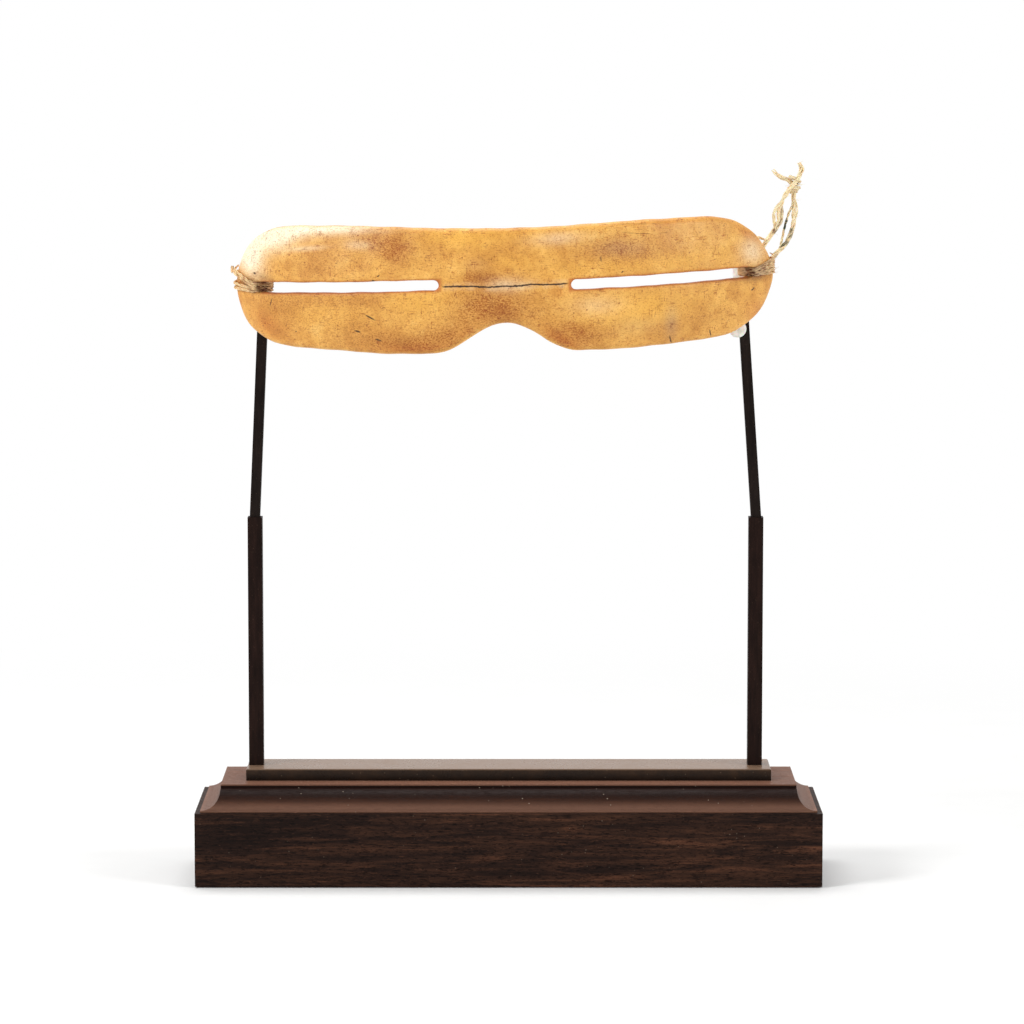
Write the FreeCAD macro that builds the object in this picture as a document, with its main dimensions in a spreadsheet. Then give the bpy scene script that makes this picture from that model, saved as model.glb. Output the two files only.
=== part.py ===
import FreeCAD, Part
import Sketcher
import math
import os

Vector = FreeCAD.Vector
doc = FreeCAD.newDocument("snow_goggles")

# Driving sizes in millimetres, angles in degrees

SIZES = {
    # wooden base
    "base_length": 157.2,
    "base_depth": 38.8,
    "block_height": 18.5,
    "ledge_width": 1.3,
    "quirk_height": 0.55,
    "cove_radius": 4.95,
    "lip_height": 0.9,
    "felt_inset": 2.0,
    "felt_thickness": 1.3,
    "felt_recess": 1.0,
    # brass plate and its screws
    "plate_end_margin": 6.1,
    "plate_depth": 15.4,
    "plate_thickness": 2.95,
    "plate_chamfer": 0.25,
    "screw_count": 3,
    "screw_pitch": 46.0,
    "screw_diameter": 3.0,
    "screw_bite": 2.2,
    "head_diameter": 5.5,
    "head_height": 2.4,
    "socket_width": 2.0,
    "socket_depth": 1.3,
    "bore_depth": 9.0,
    "screw_clearance": 0.2,
    "tap_clearance": 0.05,
    # square sleeves and the bars that slide in them
    "left_post_inset": 2.25,
    "right_post_inset": 3.85,
    "sleeve_side": 3.65,
    "sleeve_height": 63.25,
    "bar_side": 2.55,
    "bar_clearance": 0.08,
    "bend_above_sleeve": 0.4,
    "bar_above_hook": 1.0,
    # hooks, pads and soft tubes
    "left_hook_inset": 6.93,
    "right_hook_inset": 8.38,
    "hook_diameter": 1.6,
    "hook_tube_diameter": 2.8,
    "rest_tube_diameter": 4.1,
    "rest_tube_hook_gap": 2.6,
    "rest_tube_pad_gap": 0.9,
    "tube_off_bar": 0.2,
    "prong_diameter": 1.2,
    "pad_diameter": 4.4,
    "left_pad_below": 11.5,
    "right_pad_below": 12.1,
    "pad_behind_bar": 0.9,
    "tube_overhang": 0.3,
    "soft_gap": 0.05,
    # plan curve of the visor
    "visor_half_width": 67.1,
    "face_radius": 110.0,
    "face_half_angle": 16.0,
    "temple_radius": 70.0,
    "wall_thickness": 5.0,
    "face_crown": 1.2,
    "edge_round": 1.6,
    "end_round": 3.0,
    # front outline of the visor, from the line between the slits
    "brow_height": 14.6,
    "brow_rise": 1.1,
    "brow_crest": 45.0,
    "lobe_depth": 16.0,
    "notch_rise": 7.3,
    "notch_half_width": 18.0,
    "cheek_start": 25.0,
    "cheek_length": 30.0,
    "cheek_rise": 1.3,
    "end_length": 24.0,
    "left_end_fullness": 2.4,
    "right_end_fullness": 2.0,
    # hollow back and eye slits
    "hollow_depth": 1.8,
    "hollow_rim": 3.5,
    "slit_height": 2.5,
    "slit_inner_place": 15.9,
    "strip_width": 7.0,
    "left_slit_inner_height": 1.0,
    "left_slit_outer_height": 0.1,
    "right_slit_inner_height": 0.4,
    "right_slit_outer_height": 1.2,
    # place of the visor on the stand
    "visor_height": 151.4,
    "end_forward": 1.84,
    "visor_aside": 0.9,
    "visor_tilt": 1.3,
    "seat_gap": 0.3,
    # sinew
    "left_sinew_diameter": 0.75,
    "right_sinew_diameter": 0.65,
    "lashing_clearance": 0.2,
    "lashing_bend": 0.85,
    "lashing_step": 0.9,
    "lashing_spread": 0.65,
    "turn_inside_end": 2.0,
    "tail_past_end": 0.9,
    "tail_off_face": 0.4,
    "tail_rise": 0.5,
    "strap_diameter": 1.2,
    "knot_width": 3.4,
    "knot_depth": 3.0,
    "knot_height": 4.2,
}

sheet = doc.addObject("Spreadsheet::Sheet", "sizes")
for row, (alias, number) in enumerate(SIZES.items(), start=1):
    sheet.set("A{}".format(row), alias.replace("_", " "))
    sheet.set("B{}".format(row), str(number))
    sheet.setAlias("B{}".format(row), alias)
doc.recompute()


class Size:
    """A number with the expression that gives it from the sheet."""

    def __init__(self, value, text):
        self.value = value
        self.text = text

    def joined(self, sign, other, value):
        return Size(value, "({} {} {})".format(self.text, sign, as_size(other).text))

    def __add__(self, other):
        return self.joined("+", other, self.value + as_size(other).value)

    def __radd__(self, other):
        return as_size(other) + self

    def __sub__(self, other):
        return self.joined("-", other, self.value - as_size(other).value)

    def __rsub__(self, other):
        return as_size(other) - self

    def __mul__(self, other):
        return self.joined("*", other, self.value * as_size(other).value)

    def __rmul__(self, other):
        return as_size(other) * self

    def __truediv__(self, other):
        return self.joined("/", other, self.value / as_size(other).value)

    def __neg__(self):
        return as_size(0) - self

    def atan(self):
        """The angle that has this slope, in degrees."""
        return Size(math.degrees(math.atan(self.value)), "atan({})".format(self.text))

    def cos(self):
        """The cosine of an angle that atan gave."""
        return Size(math.cos(math.radians(self.value)), "cos({})".format(self.text))


def as_size(number):
    """The number itself as a Size, where it isn't one yet."""
    if isinstance(number, Size):
        return number
    return Size(float(number), repr(float(number)))


def size(alias):
    """A size read from its cell."""
    return Size(float(sheet.get(alias)), "sizes." + alias)


def bind(target, **properties):
    """Ties properties of an object to sizes."""
    for name, amount in properties.items():
        target.setExpression(name, as_size(amount).text)


def bind_place(target, x=0, y=0, z=0):
    """Ties the place of an object to sizes."""
    for axis, amount in zip("xyz", (x, y, z)):
        target.setExpression("Placement.Base." + axis, as_size(amount).text)


# Helpers for bodies made from sketches


def new_body(name):
    body = doc.addObject("PartDesign::Body", name)
    body.Label = name
    return body


def new_sketch(body, name, role, offset=0):
    """A sketch on one of the body's own origin planes, lifted off it by offset."""
    sketch = body.newObject("Sketcher::SketchObject", name)
    support = [item for item in body.Origin.OriginFeatures if item.Role == role][0]
    sketch.AttachmentSupport = [(support, "")]
    sketch.MapMode = "FlatFace"
    sketch.setExpression("AttachmentOffset.Base.z", as_size(offset).text)
    return sketch


def tie_point(sketch, geometry, end, x, y):
    """Two bound distances that hold a point of the sketch."""
    for kind, amount in (("DistanceX", as_size(x)), ("DistanceY", as_size(y))):
        tie = sketch.addConstraint(Sketcher.Constraint(kind, -1, 1, geometry, end, amount.value))
        sketch.setExpression("Constraints[{}]".format(tie), amount.text)


def add_outline(sketch, corners, arcs=()):
    """A closed outline through bound corners; arcs maps a side's number to its radius and its bulge side."""
    arcs = dict(arcs)
    count = len(corners)
    spots = [Vector(as_size(x).value, as_size(y).value, 0) for x, y in corners]
    first = sketch.GeometryCount
    for side in range(count):
        start = spots[side]
        end = spots[(side + 1) % count]
        if side in arcs:
            radius, turn = arcs[side]
            middle = arc_middle(start, end, radius.value, turn)
            sketch.addGeometry(Part.Arc(start, middle, end), False)
        else:
            sketch.addGeometry(Part.LineSegment(start, end), False)
    for side in range(count):
        x, y = corners[side]
        before = (side - 1) % count
        starts = arc_ends(sketch, first + side, spots[side])
        ends = arc_ends(sketch, first + before, spots[side])
        sketch.addConstraint(Sketcher.Constraint("Coincident", first + before, ends, first + side, starts))
        tie_point(sketch, first + side, starts, x, y)
    for side, (radius, turn) in arcs.items():
        tie = sketch.addConstraint(Sketcher.Constraint("Radius", first + side, radius.value))
        sketch.setExpression("Constraints[{}]".format(tie), radius.text)


def arc_middle(start, end, radius, turn):
    """The middle of the short arc from start to end, bulging to the left of its chord when turn is 1."""
    chord = end - start
    half = chord.Length / 2
    sagitta = radius - math.sqrt(max(radius * radius - half * half, 0))
    aside = Vector(-chord.y, chord.x, 0).normalize()
    return (start + end) * 0.5 + aside * (turn * sagitta)


def arc_ends(sketch, geometry, spot):
    """Which end of a line or arc lies at the spot: 1 for its start and 2 for its end."""
    near = (sketch.getPoint(geometry, 1) - spot).Length
    far = (sketch.getPoint(geometry, 2) - spot).Length
    return 1 if near < far else 2


def rectangle(sketch, left, bottom, right, top):
    add_outline(sketch, [(left, bottom), (right, bottom), (right, top), (left, top)])


def circle(sketch, x, y, radius):
    middle = Vector(as_size(x).value, as_size(y).value, 0)
    made = sketch.addGeometry(Part.Circle(middle, Vector(0, 0, 1), radius.value), False)
    tie_point(sketch, made, 3, x, y)
    tie = sketch.addConstraint(Sketcher.Constraint("Radius", made, radius.value))
    sketch.setExpression("Constraints[{}]".format(tie), radius.text)


def pad(body, sketch, length, midplane=False, reverse=False):
    feature = body.newObject("PartDesign::Pad", "Pad")
    feature.Profile = sketch
    feature.Midplane = midplane
    feature.Reversed = reverse
    bind(feature, Length=length)
    doc.recompute()
    return feature


def pocket(body, sketch, length, midplane=False, reverse=False):
    """A pocket that has to take material away."""
    before = body.Shape.Volume
    feature = body.newObject("PartDesign::Pocket", "Pocket")
    feature.Profile = sketch
    feature.Midplane = midplane
    feature.Reversed = reverse
    bind(feature, Length=length)
    doc.recompute()
    if body.Shape.Volume > before - 1e-6:
        raise ValueError("the pocket on {} removes nothing".format(sketch.Name))
    return feature


# Heights that several pieces share

felt_lift = size("felt_thickness") - size("felt_recess")
block_top = felt_lift + size("block_height")
cove_foot = block_top + size("quirk_height")
plateau_top = cove_foot + size("cove_radius") + size("lip_height")
plate_top = plateau_top + size("plate_thickness")
sleeve_top = plate_top + size("sleeve_height")
bend_height = sleeve_top + size("bend_above_sleeve")
plate_reach = size("base_length") / 2 - size("ledge_width") - size("cove_radius") - size("plate_end_margin")


def post_place(side):
    """Where a post stands along X; side is left or right."""
    place = plate_reach - size(side + "_post_inset")
    return -place if side == "left" else place


def hook_place(side):
    """Where a hook lies along X, an inset inside the visor's end."""
    reach = size("visor_half_width") - size(side + "_hook_inset")
    if side == "left":
        return -(reach + size("visor_aside"))
    return reach - size("visor_aside")


def bar_slope(side):
    """How far the bar moves along X for each millimetre that it rises above the bend."""
    return (hook_place(side) - post_place(side)) / (size(side + "_hook_height") - bend_height)


def bar_place(side, height):
    """The middle of the bar along X at a height above the bend."""
    return post_place(side) + bar_slope(side) * (as_size(height) - bend_height)


# Plan curve of the visor: a wide arc over the face and tighter arcs at the temples

# The wall thins out over end_round, so its middle stops a little inside the visor's width
END_ALLOWANCE = 0.3

half_wall = size("wall_thickness").value / 2
face_radius = size("face_radius").value - half_wall
temple_radius = size("temple_radius").value - half_wall
face_angle = math.radians(size("face_half_angle").value)
face_length = face_radius * face_angle
temple_centre_x = (face_radius - temple_radius) * math.sin(face_angle)
end_across = size("visor_half_width").value - END_ALLOWANCE * size("end_round").value - temple_centre_x
temple_centre_y = math.sqrt(temple_radius**2 - end_across**2) - size("end_forward").value
face_back = temple_centre_y + (face_radius - temple_radius) * math.cos(face_angle)


def plan_angle(along):
    """The angle of the wall's outward direction from straight ahead, at a length along the wall."""
    if abs(along) <= face_length:
        return along / face_radius
    angle = face_angle + (abs(along) - face_length) / temple_radius
    return math.copysign(angle, along)


def wall_point(along, out, up):
    """A point given along the wall, out from the middle of the wall and up."""
    angle = abs(plan_angle(along))
    if abs(along) <= face_length:
        x = (face_radius + out) * math.sin(angle)
        y = face_back - (face_radius + out) * math.cos(angle)
    else:
        x = temple_centre_x + (temple_radius + out) * math.sin(angle)
        y = temple_centre_y - (temple_radius + out) * math.cos(angle)
    return Vector(math.copysign(x, along), y, up)


def wall_direction(along, ahead, out, up):
    """A direction given along the wall, out of it and upwards."""
    angle = plan_angle(along)
    forward = Vector(math.cos(angle), math.sin(angle), 0)
    outward = Vector(math.sin(angle), -math.cos(angle), 0)
    return (forward * ahead + outward * out + Vector(0, 0, up)).normalize()


def along_at(place):
    """The length along the wall at which its middle has this x."""
    flat = face_radius * math.sin(face_angle)
    if abs(place) <= flat:
        return face_radius * math.asin(place / face_radius)
    angle = math.asin((abs(place) - temple_centre_x) / temple_radius)
    return math.copysign(face_length + (angle - face_angle) * temple_radius, place)


wall_end = along_at(size("visor_half_width").value - END_ALLOWANCE * size("end_round").value)
slit_end = along_at(size("visor_half_width").value - size("strip_width").value)


def ease(share):
    """A smooth step from 0 to 1."""
    share = min(max(share, 0), 1)
    return (1 - math.cos(math.pi * share)) / 2


def end_share(along):
    """The share of its full height that the visor keeps near its ends."""
    side = "left" if along < 0 else "right"
    fullness = size(side + "_end_fullness").value
    reach = size("end_length").value
    inside = wall_end - abs(along)
    if inside >= reach:
        return 1.0
    return (1 - (1 - inside / reach) ** fullness) ** (1 / fullness)


def top_edge(along):
    across = abs(wall_point(along, 0, 0).x)
    brow = size("brow_height").value + size("brow_rise").value * ease(across / size("brow_crest").value)
    return brow * end_share(along)


def bottom_edge(along):
    across = abs(wall_point(along, 0, 0).x)
    notch = size("notch_rise").value * (1 - ease(across / size("notch_half_width").value))
    cheek_share = (across - size("cheek_start").value) / size("cheek_length").value
    cheek = size("cheek_rise").value * ease(cheek_share)
    return (notch + cheek - size("lobe_depth").value) * end_share(along)


def half_thickness(along):
    """Half of the wall's thickness, which rounds off towards the ends."""
    inside = wall_end - abs(along)
    reach = size("end_round").value
    if inside >= reach:
        return half_wall
    return half_wall * math.sqrt(1 - (1 - inside / reach) ** 2)


# The edges' rounding is held to these shares of the wall's depth and height where the wall thins out
DEPTH_SHARE = 0.42
HEIGHT_SHARE = 0.3


def wall_section(along):
    """The closed outline across the wall: crowned face, rounded edges and a straight back."""
    thick = half_thickness(along)
    crown = size("face_crown").value * thick / half_wall
    top = top_edge(along)
    bottom = bottom_edge(along)
    depth = 2 * thick - crown
    rounding = min(size("edge_round").value, DEPTH_SHARE * depth, HEIGHT_SHARE * (top - bottom))
    front = thick - crown
    middle = (top + bottom) / 2
    high = top - rounding
    low = bottom + rounding
    edges = [
        Part.Arc(
            wall_point(along, front, low),
            wall_point(along, thick, middle),
            wall_point(along, front, high),
        ).toShape(),
        Part.Arc(
            wall_point(along, front, high),
            wall_point(along, -crown / 2, top),
            wall_point(along, -thick, high),
        ).toShape(),
        Part.makeLine(wall_point(along, -thick, high), wall_point(along, -thick, low)),
        Part.Arc(
            wall_point(along, -thick, low),
            wall_point(along, -crown / 2, bottom),
            wall_point(along, front, low),
        ).toShape(),
    ]
    return Part.Wire(edges)


def block_section(along, back, front, low, high):
    """A rectangle across the wall."""
    corners = [(back, low), (front, low), (front, high), (back, high), (back, low)]
    return Part.makePolygon([wall_point(along, out, up) for out, up in corners])


def stations(start, end, step):
    """Evenly spaced lengths along the wall, both ends included."""
    count = max(2, math.ceil(abs(end - start) / step))
    return [start + (end - start) * number / count for number in range(count + 1)]


# How far the sections near the ends lie inside the wall's end
END_STEPS = [0.12, 0.5, 1.2, 2.4, 4.4, 7.6, 12.0]
SECTION_STEP = 6.5


def visor_blank():
    """The curved wall with its nose notch, before the hollow and the slits."""
    inner = wall_end - END_STEPS[-1]
    left = [step - wall_end for step in END_STEPS]
    right = [wall_end - step for step in reversed(END_STEPS)]
    middle = stations(-inner, inner, SECTION_STEP)[1:-1]
    return Part.makeLoft([wall_section(along) for along in left + middle + right], True, False)


def hollow_tool():
    """The shallow hollow of the back, a rim's width inside the outline."""
    rim = size("hollow_rim").value
    floor = size("hollow_depth").value - half_wall
    reach = wall_end - rim
    sections = []
    for along in stations(-reach, reach, SECTION_STEP):
        low = bottom_edge(along) + rim
        high = top_edge(along) - rim
        sections.append(block_section(along, -2 * half_wall, floor, low, high))
    return Part.makeLoft(sections, True, False)


def slit_centre(side, along):
    """The height of the middle of an eye slit at a length along the wall."""
    inner = along_at(size("slit_inner_place").value)
    share = (abs(along) - inner) / (slit_end - inner)
    inner_height = size(side + "_slit_inner_height").value
    outer_height = size(side + "_slit_outer_height").value
    return inner_height + share * (outer_height - inner_height)


def slit_tool(side):
    """One eye slit: square to the wall, round at its inner end."""
    sign = -1 if side == "left" else 1
    half = size("slit_height").value / 2
    inner = along_at(size("slit_inner_place").value) + half
    deep = 2 * half_wall
    sections = []
    for length in stations(inner, slit_end, SECTION_STEP):
        along = sign * length
        centre = slit_centre(side, along)
        sections.append(block_section(along, -deep, deep, centre - half, centre + half))
    slot = Part.makeLoft(sections, True, True)
    start = wall_point(sign * inner, -deep, slit_centre(side, sign * inner))
    round_end = Part.makeCylinder(half, 2 * deep, start, wall_direction(sign * inner, 0, 1, 0))
    return slot.fuse(round_end)


def on_visor(shape_object, shape):
    """Gives a piece its shape in the visor's frame, then the visor's place on the stand."""
    shape_object.Shape = shape
    tilt = FreeCAD.Rotation(Vector(0, 1, 0), -size("visor_tilt").value)
    place = Vector(-size("visor_aside").value, 0, size("visor_height").value)
    shape_object.Placement = FreeCAD.Placement(place, tilt)


def to_visor(x, z):
    """The visor's own x and height of a point given on the stand."""
    tilt = math.radians(size("visor_tilt").value)
    right = x + size("visor_aside").value
    up = z - size("visor_height").value
    return (
        right * math.cos(tilt) + up * math.sin(tilt),
        up * math.cos(tilt) - right * math.sin(tilt),
    )


# Tubes along straight runs and arcs


def arc_rise(start, direction, end):
    """The middle of the arc that leaves start this way and reaches end, or None where it is straight."""
    chord = end - start
    along = Vector(chord).normalize()
    bulge = direction - along * direction.dot(along)
    if bulge.Length < 1e-5:
        return None
    half_turn = direction.getAngle(chord)
    rise = chord.Length / 2 * math.tan(half_turn / 2)
    return start + chord * 0.5 + bulge.normalize() * rise


def arc_through(start, middle, end):
    """The arc through three points, or a line where there is no middle."""
    if middle is None:
        return Part.makeLine(start, end)
    return Part.Arc(start, middle, end).toShape()


def biarc(start, start_way, end, end_way):
    """Two arcs that meet smoothly, from one point and direction to another."""
    step = end - start
    both = start_way + end_way
    spread = 2 * (1 - start_way.dot(end_way))
    if spread < 1e-9:
        return [Part.makeLine(start, end)]
    reach = (math.sqrt(step.dot(both) ** 2 + spread * step.dot(step)) - step.dot(both)) / spread
    joint = (start + end + (start_way - end_way) * reach) * 0.5
    first = arc_through(start, arc_rise(start, start_way, joint), joint)
    second = arc_through(joint, arc_rise(end, end_way * -1, joint), end)
    return [first, second]


def tube(edges, start, direction, diameter):
    """A round tube along joined edges."""
    ring = Part.Wire([Part.makeCircle(diameter / 2, start, direction)])
    path = Part.Wire(Part.__sortEdges__(edges))
    return path.makePipeShell([ring], True)


def least_gap(edges, diameter, apart):
    """The least gap between a tube and itself, measured on points over apart from each other along it."""
    spots = []
    travelled = 0
    for edge in edges:
        points = edge.discretize(Number=max(3, int(edge.Length / 0.12)))
        step = edge.Length / (len(points) - 1)
        spots += [(travelled + number * step, point) for number, point in enumerate(points)]
        travelled += edge.Length
    least = 1e9
    for index, (length, spot) in enumerate(spots):
        for other_length, other in spots[index + 1 :]:
            if other_length - length > apart:
                least = min(least, (spot - other).Length - diameter)
    return least


# Wooden base with a mitred cove, its felt, the brass plate and the screws

CUT_MARGIN = 1


def make_base():
    body = new_body("base_block")
    half = size("base_length") / 2
    foot = half - size("ledge_width")
    edge = foot - size("cove_radius")
    cove_top = cove_foot + size("cove_radius")
    front = new_sketch(body, "front_profile", "XZ_Plane")
    corners = [
        (-half, felt_lift),
        (half, felt_lift),
        (half, block_top),
        (foot, block_top),
        (foot, cove_foot),
        (edge, cove_top),
        (edge, plateau_top),
        (-edge, plateau_top),
        (-edge, cove_top),
        (-foot, cove_foot),
        (-foot, block_top),
        (-half, block_top),
    ]
    cove = (size("cove_radius"), 1)
    add_outline(front, corners, {4: cove, 8: cove})
    pad(body, front, size("base_depth"), midplane=True)
    sides = new_sketch(body, "side_coves", "YZ_Plane")
    deep = size("base_depth") / 2
    foot = deep - size("ledge_width")
    edge = foot - size("cove_radius")
    above = plateau_top + CUT_MARGIN
    for way in (1, -1):
        corners = [
            (way * (deep + CUT_MARGIN), block_top),
            (way * (deep + CUT_MARGIN), above),
            (way * edge, above),
            (way * edge, cove_top),
            (way * foot, cove_foot),
            (way * foot, block_top),
        ]
        add_outline(sides, corners, {3: (size("cove_radius"), way)})
    pocket(body, sides, size("base_length") + 2 * CUT_MARGIN, midplane=True)
    recess = new_sketch(body, "felt_recess", "XY_Plane", felt_lift)
    reach = size("base_length") / 2 - size("felt_inset")
    depth = deep - size("felt_inset")
    rectangle(recess, -reach, -depth, reach, depth)
    pocket(body, recess, size("felt_recess"), reverse=True)
    bores = new_sketch(body, "screw_bores", "XY_Plane", felt_lift)
    holes = new_sketch(body, "screw_holes", "XY_Plane", felt_lift)
    for place in screw_places():
        circle(bores, place, 0, size("head_diameter") / 2 + size("screw_clearance"))
        circle(holes, place, 0, size("screw_diameter") / 2 + size("screw_clearance"))
    pocket(body, bores, size("bore_depth"), reverse=True)
    pocket(body, holes, plateau_top, reverse=True)


def screw_places():
    """The screws stand in one row under the plate."""
    count = int(size("screw_count").value)
    return [size("screw_pitch") * (number - (count - 1) / 2) for number in range(count)]


def make_felt():
    body = new_body("base_felt")
    outline = new_sketch(body, "felt_outline", "XY_Plane")
    reach = size("base_length") / 2 - size("felt_inset")
    depth = size("base_depth") / 2 - size("felt_inset")
    rectangle(outline, -reach, -depth, reach, depth)
    pad(body, outline, size("felt_thickness"))


def make_plate():
    body = new_body("post_plate")
    outline = new_sketch(body, "plate_outline", "XY_Plane", plateau_top)
    depth = size("plate_depth") / 2
    rectangle(outline, -plate_reach, -depth, plate_reach, depth)
    slab = pad(body, outline, size("plate_thickness"))
    edges = []
    for number, edge in enumerate(slab.Shape.Edges, start=1):
        if edge.BoundBox.ZMin > plate_top.value - 0.01:
            edges.append("Edge{}".format(number))
    chamfer = body.newObject("PartDesign::Chamfer", "plate_chamfer")
    chamfer.Base = (slab, edges)
    bind(chamfer, Size=size("plate_chamfer"))
    doc.recompute()
    taps = new_sketch(body, "tapped_holes", "XY_Plane", plateau_top)
    for place in screw_places():
        circle(taps, place, 0, size("screw_diameter") / 2 + size("tap_clearance"))
    pocket(body, taps, size("screw_bite") + size("tap_clearance"), reverse=True)


def make_screws():
    seat = felt_lift + size("bore_depth")
    screws = []
    for place in screw_places():
        head = doc.addObject("Part::Cylinder", "screw_head")
        bind(head, Radius=size("head_diameter") / 2, Height=size("head_height"))
        bind_place(head, place, 0, seat - size("head_height"))
        shank = doc.addObject("Part::Cylinder", "screw_shank")
        bind(shank, Radius=size("screw_diameter") / 2)
        bind(shank, Height=plateau_top + size("screw_bite") - seat)
        bind_place(shank, place, 0, seat)
        whole = doc.addObject("Part::Fuse", "screw_whole")
        whole.Base = head
        whole.Tool = shank
        socket = doc.addObject("Part::Prism", "screw_socket")
        socket.Polygon = 6
        bind(socket, Circumradius=size("socket_width") / math.sqrt(3), Height=size("socket_depth"))
        bind_place(socket, place, 0, seat - size("head_height"))
        screw = doc.addObject("Part::Cut", "screw")
        screw.Base = whole
        screw.Tool = socket
        screws.append(screw)
    group = doc.addObject("Part::Compound", "plate_screws")
    group.Label = "plate_screws"
    group.Links = screws


# Square sleeves and the bars that slide in them


def make_sleeve(side):
    body = new_body(side + "_sleeve")
    ring = new_sketch(body, side + "_ring", "XY_Plane", plate_top)
    place = post_place(side)
    for half in (size("sleeve_side") / 2, size("bar_side") / 2 + size("bar_clearance")):
        rectangle(ring, place - half, -half, place + half, half)
    pad(body, ring, size("sleeve_height"))


def make_bar(side):
    """The bar stands on the plate inside its sleeve and leans inwards above it."""
    body = new_body(side + "_bar")
    profile = new_sketch(body, side + "_bar_profile", "XZ_Plane")
    half = size("bar_side") / 2
    foot = post_place(side)
    top = size(side + "_hook_height") + size("bar_above_hook")
    tip = bar_place(side, top)
    corners = [
        (foot - half, plate_top),
        (foot + half, plate_top),
        (foot + half, bend_height),
        (tip + half, top),
        (tip - half, top),
        (foot - half, bend_height),
    ]
    add_outline(profile, corners)
    pad(body, profile, size("bar_side"), midplane=True)


# Hooks, pads and soft tubes on the bars

FORWARD = FreeCAD.Rotation(Vector(1, 0, 0), 90)


def forward_rod(name, diameter, x, z, start, tip):
    """A round rod that runs straight forward from start to tip, both distances in front of the posts."""
    rod = doc.addObject("Part::Cylinder", name)
    rod.Label = name
    rod.Placement = FreeCAD.Placement(Vector(), FORWARD)
    bind(rod, Radius=diameter / 2, Height=tip - start)
    bind_place(rod, x, -start, z)
    return rod


def forward_tube(name, diameter, bore, x, z, start, tip):
    """A soft tube over a forward rod."""
    outer = forward_rod(name + "_outer", diameter, x, z, start, tip)
    inner = forward_rod(name + "_bore", bore, x, z, start - CUT_MARGIN, tip + CUT_MARGIN)
    made = doc.addObject("Part::Cut", name)
    made.Label = name
    made.Base = outer
    made.Tool = inner


def make_hook(side):
    """The upper hook reaches into the hollow back of the visor, under its upper rim."""
    height = size(side + "_hook_height")
    x = hook_place(side)
    front = size("bar_side") / 2
    tip = size(side + "_hook_tip")
    diameter = size("hook_diameter")
    forward_rod(side + "_hook", diameter, x, height, front, tip - size("tube_overhang"))
    start = front + size("tube_off_bar")
    bore = diameter + 2 * size("soft_gap")
    forward_tube(side + "_hook_tube", size("hook_tube_diameter"), bore, x, height, start, tip)


def pad_place(side):
    """The middle of the lower prong, brazed to the inner face of the bar."""
    height = size("visor_height") - size(side + "_pad_below")
    inward = size("bar_side") / 2 + size("prong_diameter") / 2 / bar_slope(side).atan().cos()
    place = bar_place(side, height)
    return (place + inward if side == "left" else place - inward), height


def make_pad(side):
    """The lower prong and its tube bear on the back of the visor at its lower edge."""
    x, height = pad_place(side)
    tip = size(side + "_pad_tip")
    diameter = size("prong_diameter")
    behind = as_size(0) - size("pad_behind_bar")
    forward_rod(side + "_prong", diameter, x, height, behind, tip - size("tube_overhang"))
    start = size("bar_side") / 2 + size("tube_off_bar")
    bore = diameter + 2 * size("soft_gap")
    forward_tube(side + "_pad", size("pad_diameter"), bore, x, height, start, tip)


def make_rest_tube(side):
    """A soft round tube on the upper part of the bar."""
    name = side + "_rest_tube"
    lean = bar_slope(side).atan()
    pad_top = pad_place(side)[1] + size("pad_diameter") / 2
    start = (pad_top + size("rest_tube_pad_gap") - bend_height) / lean.cos()
    end = (size(side + "_hook_height") - size("rest_tube_hook_gap") - bend_height) / lean.cos()
    length = end - start
    outer = doc.addObject("Part::Cylinder", name + "_outer")
    bind(outer, Radius=size("rest_tube_diameter") / 2, Height=length)
    bind_place(outer, 0, 0, start)
    bore = doc.addObject("Part::Box", name + "_bore")
    width = size("bar_side") + 2 * size("soft_gap")
    bind(bore, Length=width, Width=width, Height=length + 2 * CUT_MARGIN)
    bind_place(bore, -width / 2, -width / 2, start - CUT_MARGIN)
    made = doc.addObject("Part::Cut", name)
    made.Label = name
    made.Base = outer
    made.Tool = bore
    made.Placement = FreeCAD.Placement(Vector(), FreeCAD.Rotation(Vector(0, 1, 0), lean.value))
    made.setExpression("Placement.Rotation.Axis.x", "0")
    made.setExpression("Placement.Rotation.Axis.y", "1")
    made.setExpression("Placement.Rotation.Axis.z", "0")
    made.setExpression("Placement.Rotation.Angle", lean.text)
    bind_place(made, post_place(side), 0, bend_height)


# Where the visor comes to rest against the hooks and pads


def back_distance(x, z, out):
    """How far in front of the posts a surface of the wall lies at a place on the stand."""
    across = abs(to_visor(x, z)[0]) - temple_centre_x
    return math.sqrt((temple_radius + out) ** 2 - across**2) - temple_centre_y


LEDGE_LENGTH = 12
LEDGE_STEP = 0.2


def ledge_gap(side, height):
    """The distance from the middle of the hook to the underside of the visor's upper rim, below it."""
    x, up = to_visor(hook_place(side).value, height)
    rim = size("hollow_rim").value
    sign = -1 if side == "left" else 1
    first = slit_end - LEDGE_LENGTH
    least = 1e9
    for out in (-half_wall, size("hollow_depth").value - half_wall):
        for length in stations(first, wall_end - rim, LEDGE_STEP):
            spot = wall_point(sign * length, out, top_edge(sign * length) - rim)
            if up > spot.z and abs(spot.x - x) < LEDGE_STEP:
                return -1.0
            least = min(least, math.hypot(spot.x - x, spot.z - up))
    return least


def hook_height(side):
    """The height at which the hook's tube lies a seat gap under the rim."""
    wanted = size("hook_tube_diameter").value / 2 + size("seat_gap").value
    low = size("visor_height").value
    high = low + size("brow_height").value
    for halving in range(40):
        middle = (low + high) / 2
        if ledge_gap(side, middle) > wanted:
            low = middle
        else:
            high = middle
    return low


def reach_to_wall(side, x, z, diameter, out):
    """How far forward a rod may reach before its outer side is a seat gap from the wall."""
    outward = -1 if side == "left" else 1
    outer_side = x + outward * diameter / 2
    return back_distance(outer_side, z, out) - size("seat_gap").value


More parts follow.
